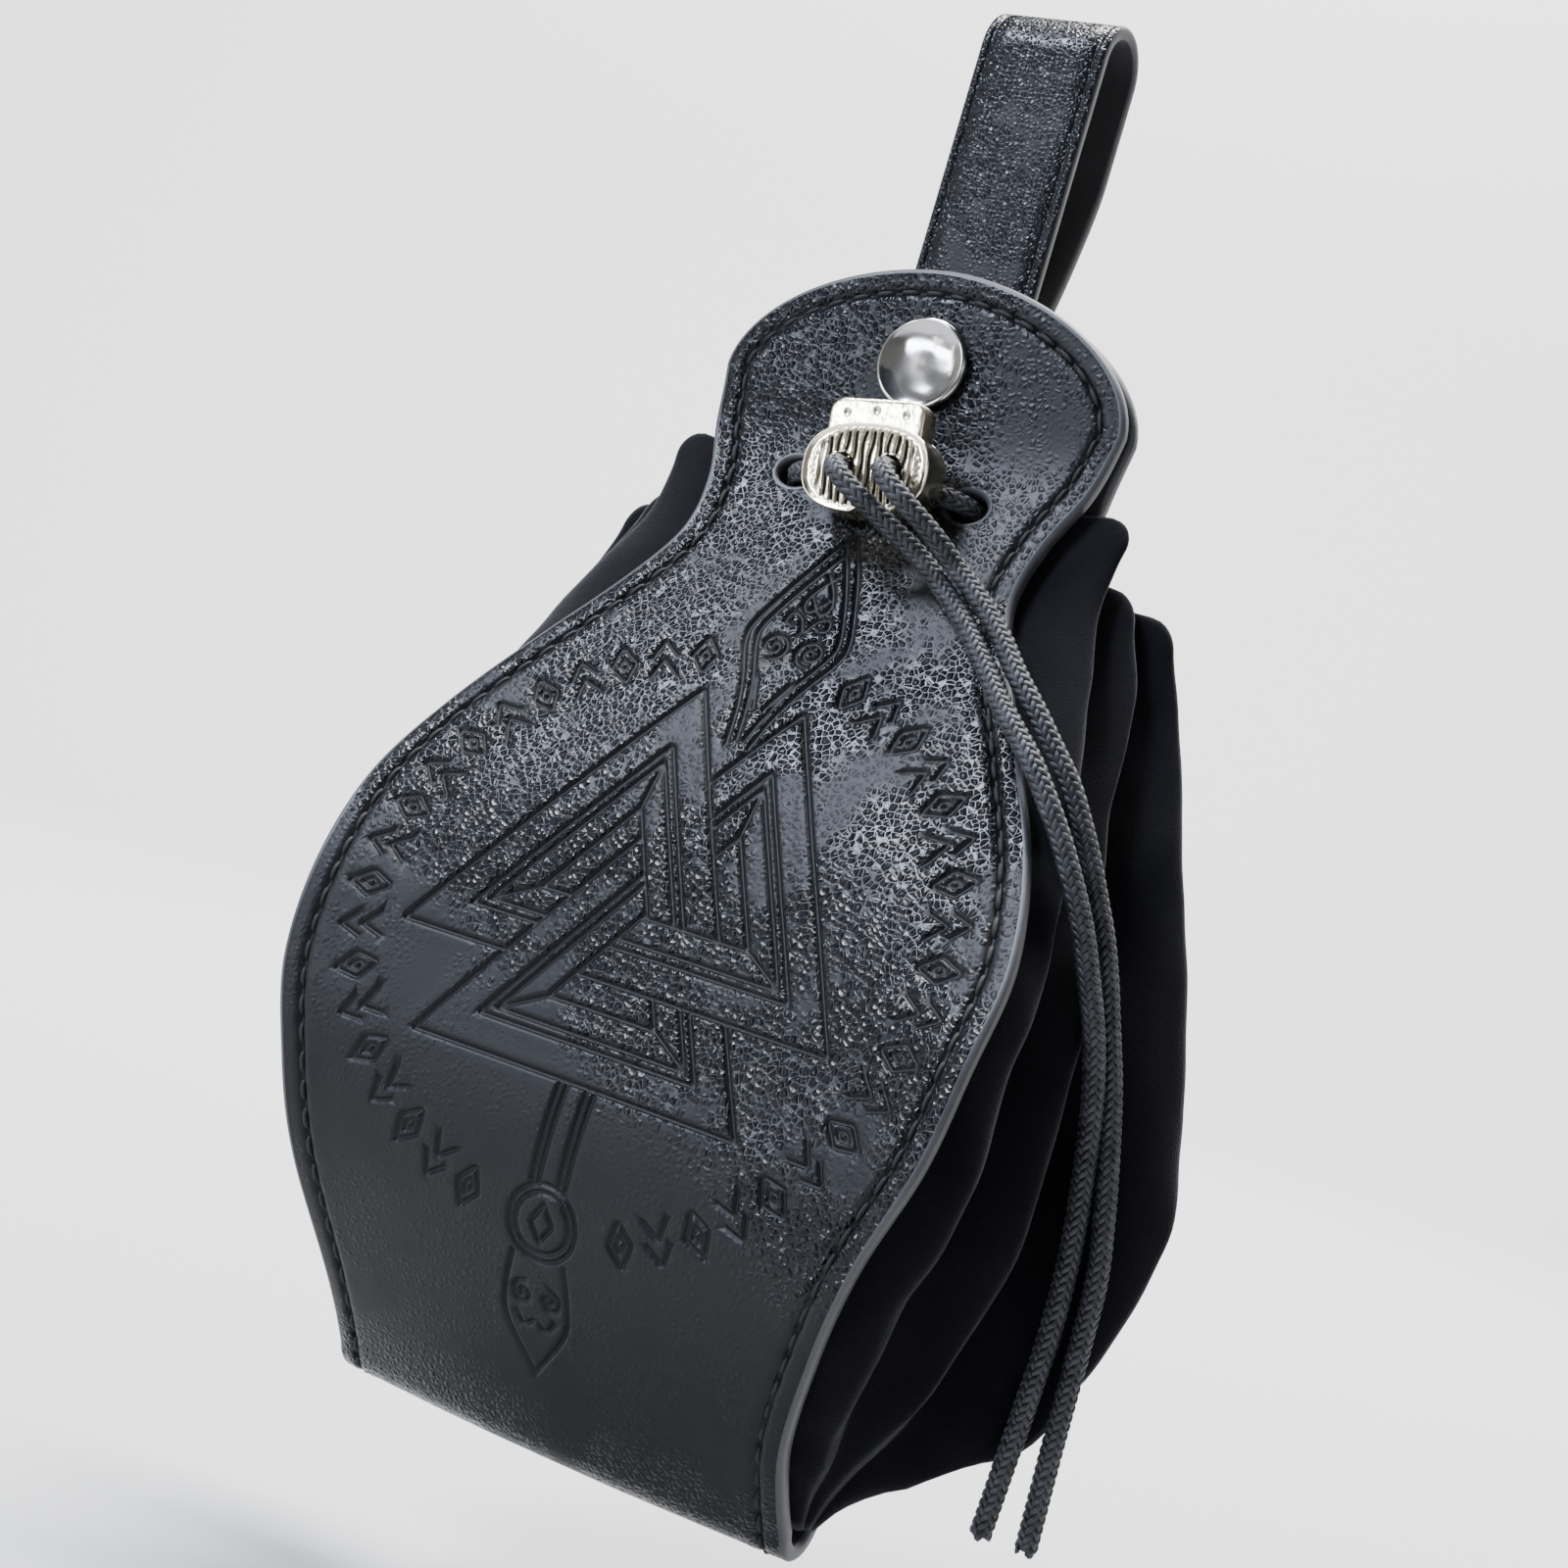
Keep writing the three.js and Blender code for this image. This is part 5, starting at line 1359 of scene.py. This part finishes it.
turn = np.radians(np.arange(0, 360, 2))
power = 2 / LOCK_ROUNDNESS
oval = np.stack([LOCK_HALF_WIDTH * np.sign(np.cos(turn)) * np.abs(np.cos(turn)) ** power,
                 LOCK_HALF_HEIGHT * np.sign(np.sin(turn)) * np.abs(np.sin(turn)) ** power], 1)
oval = even_loop(oval, 0.35)
NOTCH_WIDTH, NOTCH_DEPTH = 0.8, 0.7
oval[:, 1] += NOTCH_DEPTH * ((oval[:, 1] < 0) * np.exp(-(oval[:, 0] / NOTCH_WIDTH) ** 2))
GROOVE_PITCH, GROOVE_DEPTH, GROOVE_REACH = 1.38, 0.42, 7.7
FACE_DOME, STIPPLE_DEPTH, STIPPLE_RADIUS = 0.5, 0.16, 0.3
stipple = np.array([(s * 8.75 * math.cos(a), 5.6 * math.sin(a)) for s in (-1, 1)
                    for a in np.radians(np.linspace(-52, 52, 11))])


def cast_grooves(points):
    """Depth share of the cast grooves, 0 to 1."""
    x, z = points[:, 0], points[:, 1]
    wave = x + 0.14 * np.sin(z * 1.1 + np.floor(x / GROOVE_PITCH) * 2.1)
    phase = np.abs((wave / GROOVE_PITCH) % 1 - 0.5) * 2
    share = soft_step((0.62 - phase) / 0.4)
    inside = (np.clip((GROOVE_REACH - np.abs(x)) / 0.3, 0, 1)
              * np.clip((0.86 - oval_share(points)) / 0.05, 0, 1))
    return share * inside


def nearest(marks, points):
    """Distance of each point from the nearest of a few marks."""
    return np.array([np.linalg.norm(marks - p, axis=1).min() for p in points])


def press_barrel(points):
    """Depth of the barrel's face."""
    return (FACE_DOME * oval_share(points) ** 4 + GROOVE_DEPTH * cast_grooves(points)
            + STIPPLE_DEPTH * dip(nearest(stipple, points), STIPPLE_RADIUS))


def fine_grid(half_x, low_z, high_z, step):
    """Even points for a small face."""
    x, z = np.meshgrid(np.arange(-half_x, half_x, step), np.arange(low_z, high_z, step))
    x = x + (np.round(z / step) % 2) * step / 2
    return np.stack([x.ravel(), z.ravel()], 1)


cord_holes = [clockwise_oval(s * HOLE_SIDE, 0, HOLE_RADIUS, HOLE_RADIUS, 32) for s in (-1, 1)]
points = fine_grid(LOCK_HALF_WIDTH, -LOCK_HALF_HEIGHT, LOCK_HALF_HEIGHT, 0.23)
away = np.minimum(*[np.linalg.norm(points - (s * HOLE_SIDE, 0), axis=1) for s in (-1, 1)])
points = points[(oval_share(points) < 0.88) & (away > HOLE_RADIUS + 0.55)]
flat, depth, faces, kinds = cut_sheet([oval, *cord_holes], 0.45, LOCK_DEPTH, points,
                                      points[::9], press_barrel)
barrel = make_piece("lock_barrel", on_lock(flat[:, 0], flat[:, 1], depth - LOCK_DEPTH / 2), faces,
                    [silver], solid=["lock_body"])
keep_value(barrel, "groove", np.where(depth < 1.5, np.clip(cast_grooves(flat), 0, 1), 0.1))

# %% Cut the pocket
stem, head, floor, ledge, high = 7.25, 8.15, -5.3, 2.0, 14.0
pocket = even_loop([(-stem, floor), (stem, floor), (stem, ledge), (head, ledge), (head, high),
                    (-head, high), (-head, ledge), (-stem, ledge)], 0.9)
POCKET_DEPTH, no_points = 5.0, np.zeros((0, 2))
flat, depth, faces, _ = cut_sheet([pocket], 0.05, POCKET_DEPTH, no_points, no_points,
                                  lambda p: np.zeros(len(p)), arc_steps=1)
cutter = make_piece("pocket_cutter", on_lock(flat[:, 0], flat[:, 1], depth - POCKET_DEPTH / 2),
                    faces, [silver])
cut = barrel.modifiers.new("pocket", "BOOLEAN")
cut.operation, cut.solver, cut.object = "DIFFERENCE", "EXACT", cutter
graph = bpy.context.evaluated_depsgraph_get()
hollow = bpy.data.meshes.new_from_object(barrel.evaluated_get(graph))
barrel.modifiers.clear()
barrel.data = hollow
bpy.data.objects.remove(cutter)
print("barrel with its pocket:", len(hollow.polygons), "faces")

# %% Cast the button
BUTTON_HALF, BUTTON_TOP, BUTTON_FOOT, BUTTON_THICK = 7.85, 10.9, -3.0, 4.4
STEM_HALF, SHOULDER, CORNER, TRAVEL = 6.95, 4.3, 2.2, 2.0
DOTS, DOT_DEPTH, DOT_RADIUS = np.array([(-4.9, 8.6), (0.0, 9.1), (4.9, 8.6)]), 0.28, 0.55
bend = np.radians(np.linspace(0, 90, 8))
right_top = np.stack([BUTTON_HALF - CORNER + CORNER * np.cos(bend),
                      BUTTON_TOP - CORNER + CORNER * np.sin(bend)], 1)
right_half = np.vstack([[(STEM_HALF, BUTTON_FOOT), (STEM_HALF, SHOULDER), (BUTTON_HALF, SHOULDER)],
                        right_top])
left_half = right_half[::-1] * (-1, 1)
button_outline = even_loop(np.vstack([left_half[-1:], right_half, left_half[:-1]]), 0.4)
t = -2 * math.pi * np.arange(28) / 28
long_holes = [np.stack([s * HOLE_SIDE + HOLE_RADIUS * np.cos(t),
                        HOLE_RADIUS * np.sin(t) + np.where(np.sin(t) > 0, TRAVEL, 0)], 1)
              for s in (-1, 1)]
points = fine_grid(BUTTON_HALF - 0.9, 4.9, BUTTON_TOP - 0.8, 0.3)
flat, depth, faces, _ = cut_sheet(
    [button_outline, *long_holes], 0.4, BUTTON_THICK, points, points[::12],
    lambda p: DOT_DEPTH * dip(nearest(DOTS, p), DOT_RADIUS))
button = make_piece("lock_button_plate", on_lock(flat[:, 0], flat[:, 1], depth - BUTTON_THICK / 2),
                    faces, [silver], body="button", solid=["lock_button"])
keep_value(button, "groove", np.clip(depth * (depth < 0.4) * 2, 0, 0.6))

# %% [markdown]
# ## Floor and light
# The floor is a plain pale bowl: flat below the pouch, then rising in a wide curve, so no horizon
# shows behind the pouch. A soft light stands high in front, a little to the left, where the
# picture's highlights come from. A lower one picks out the pebbles in the middle of the front, and
# a tall strip beside it draws a sweep in the polished stud. A weaker light fills from the right,
# one behind gives the edges a rim, and one washes the backdrop. The room in front stays dim, so the
# metal has something dark to mirror.

# %% Floor
floor_paint, surface = new_finish("pale_floor_paint")
feed(floor_paint, surface, Base_Color=paint("#acacab"), Roughness=0.9, Specular_IOR_Level=0.1)
FLOOR_Z = -0.262
FLAT_RADIUS, BEND_RADIUS, WALL_TOP = 1.6, 0.9, 1.6
rise = np.radians(np.linspace(0, 90, 16))
bend = np.stack([FLAT_RADIUS + BEND_RADIUS * np.sin(rise), BEND_RADIUS * (1 - np.cos(rise))], 1)
bowl = np.vstack([[(0.0, 0.0), (0.5, 0.0), (1.0, 0.0)], bend,
                  [(FLAT_RADIUS + BEND_RADIUS, WALL_TOP)]])
sides = 96
around = 2 * math.pi * np.arange(sides) / sides
points = np.stack([bowl[1:, :1] * np.cos(around), bowl[1:, :1] * np.sin(around),
                   np.broadcast_to(FLOOR_Z + bowl[1:, 1:], (len(bowl) - 1, sides))], -1)
mesh = bpy.data.meshes.new("pale_floor")
faces = wrap_grid(len(bowl) - 1, sides).tolist() + [list(range(sides))[::-1]]
mesh.from_pydata(points.reshape(-1, 3).tolist(), [], faces)
mesh.polygons.foreach_set("use_smooth", [True] * (len(mesh.polygons) - 1) + [False])
mesh.materials.append(floor_paint)
floor = bpy.data.objects.new("pale_floor", mesh)
bpy.context.scene.collection.objects.link(floor)
floor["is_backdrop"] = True


# %% Lights
def soft_light(name, place, target, size, power, colour="#ffffff", height=None):
    """Area light that looks at a point: a square, or a rectangle if a height is given."""
    data = bpy.data.lights.new(name, "AREA")
    data.shape, data.size, data.energy = "RECTANGLE" if height else "SQUARE", size, power
    if height:
        data.size_y = height
    data.color = paint(colour)[:3]
    light = bpy.data.objects.new(name, data)
    light.location = place
    aim = Vector(target) - Vector(place)
    light.rotation_euler = aim.to_track_quat("-Z", "Y").to_euler()
    bpy.context.scene.collection.objects.link(light)
    print(name, power, "W")


MIDDLE = (0.0, -0.03, -0.12)
soft_light("key_above", (-0.5, -0.75, 0.75), MIDDLE, 0.3, 36.0, "#e2eaff")
soft_light("front_left", (-0.6, -1.0, 0.06), MIDDLE, 0.22, 6.5, "#e2eaff")
soft_light("strip_left", (-1.0, -1.25, -0.05), (0, 0, -0.05), 0.1, 1.6, height=0.9)
soft_light("fill_right", (0.9, -0.5, 0.2), MIDDLE, 0.2, 1.2)
soft_light("rim_back", (0.1, 0.9, 0.8), MIDDLE, 0.7, 10.0)
soft_light("backdrop_wash", (-0.2, 0.5, 2.0), (-1.1, 2.2, 0.1), 1.2, 400.0)
world = bpy.data.worlds.new("dim_room")
world.use_nodes = True
world.node_tree.nodes["Background"].inputs["Color"].default_value = paint("#e4ebff")
world.node_tree.nodes["Background"].inputs["Strength"].default_value = 0.08
bpy.context.scene.world = world

# %% [markdown]
# ## Measure and finish
# The box round the dressed pouch is written beside the box of its solids, so they can be compared.

# %% Write the sizes and finish
low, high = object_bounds()
for word, a, b in (("low", low, solid_low), ("high", high, solid_high)):
    print(word, "corner moves, mm:", [round(1000 * (p - q), 2) for p, q in zip(a, b)])
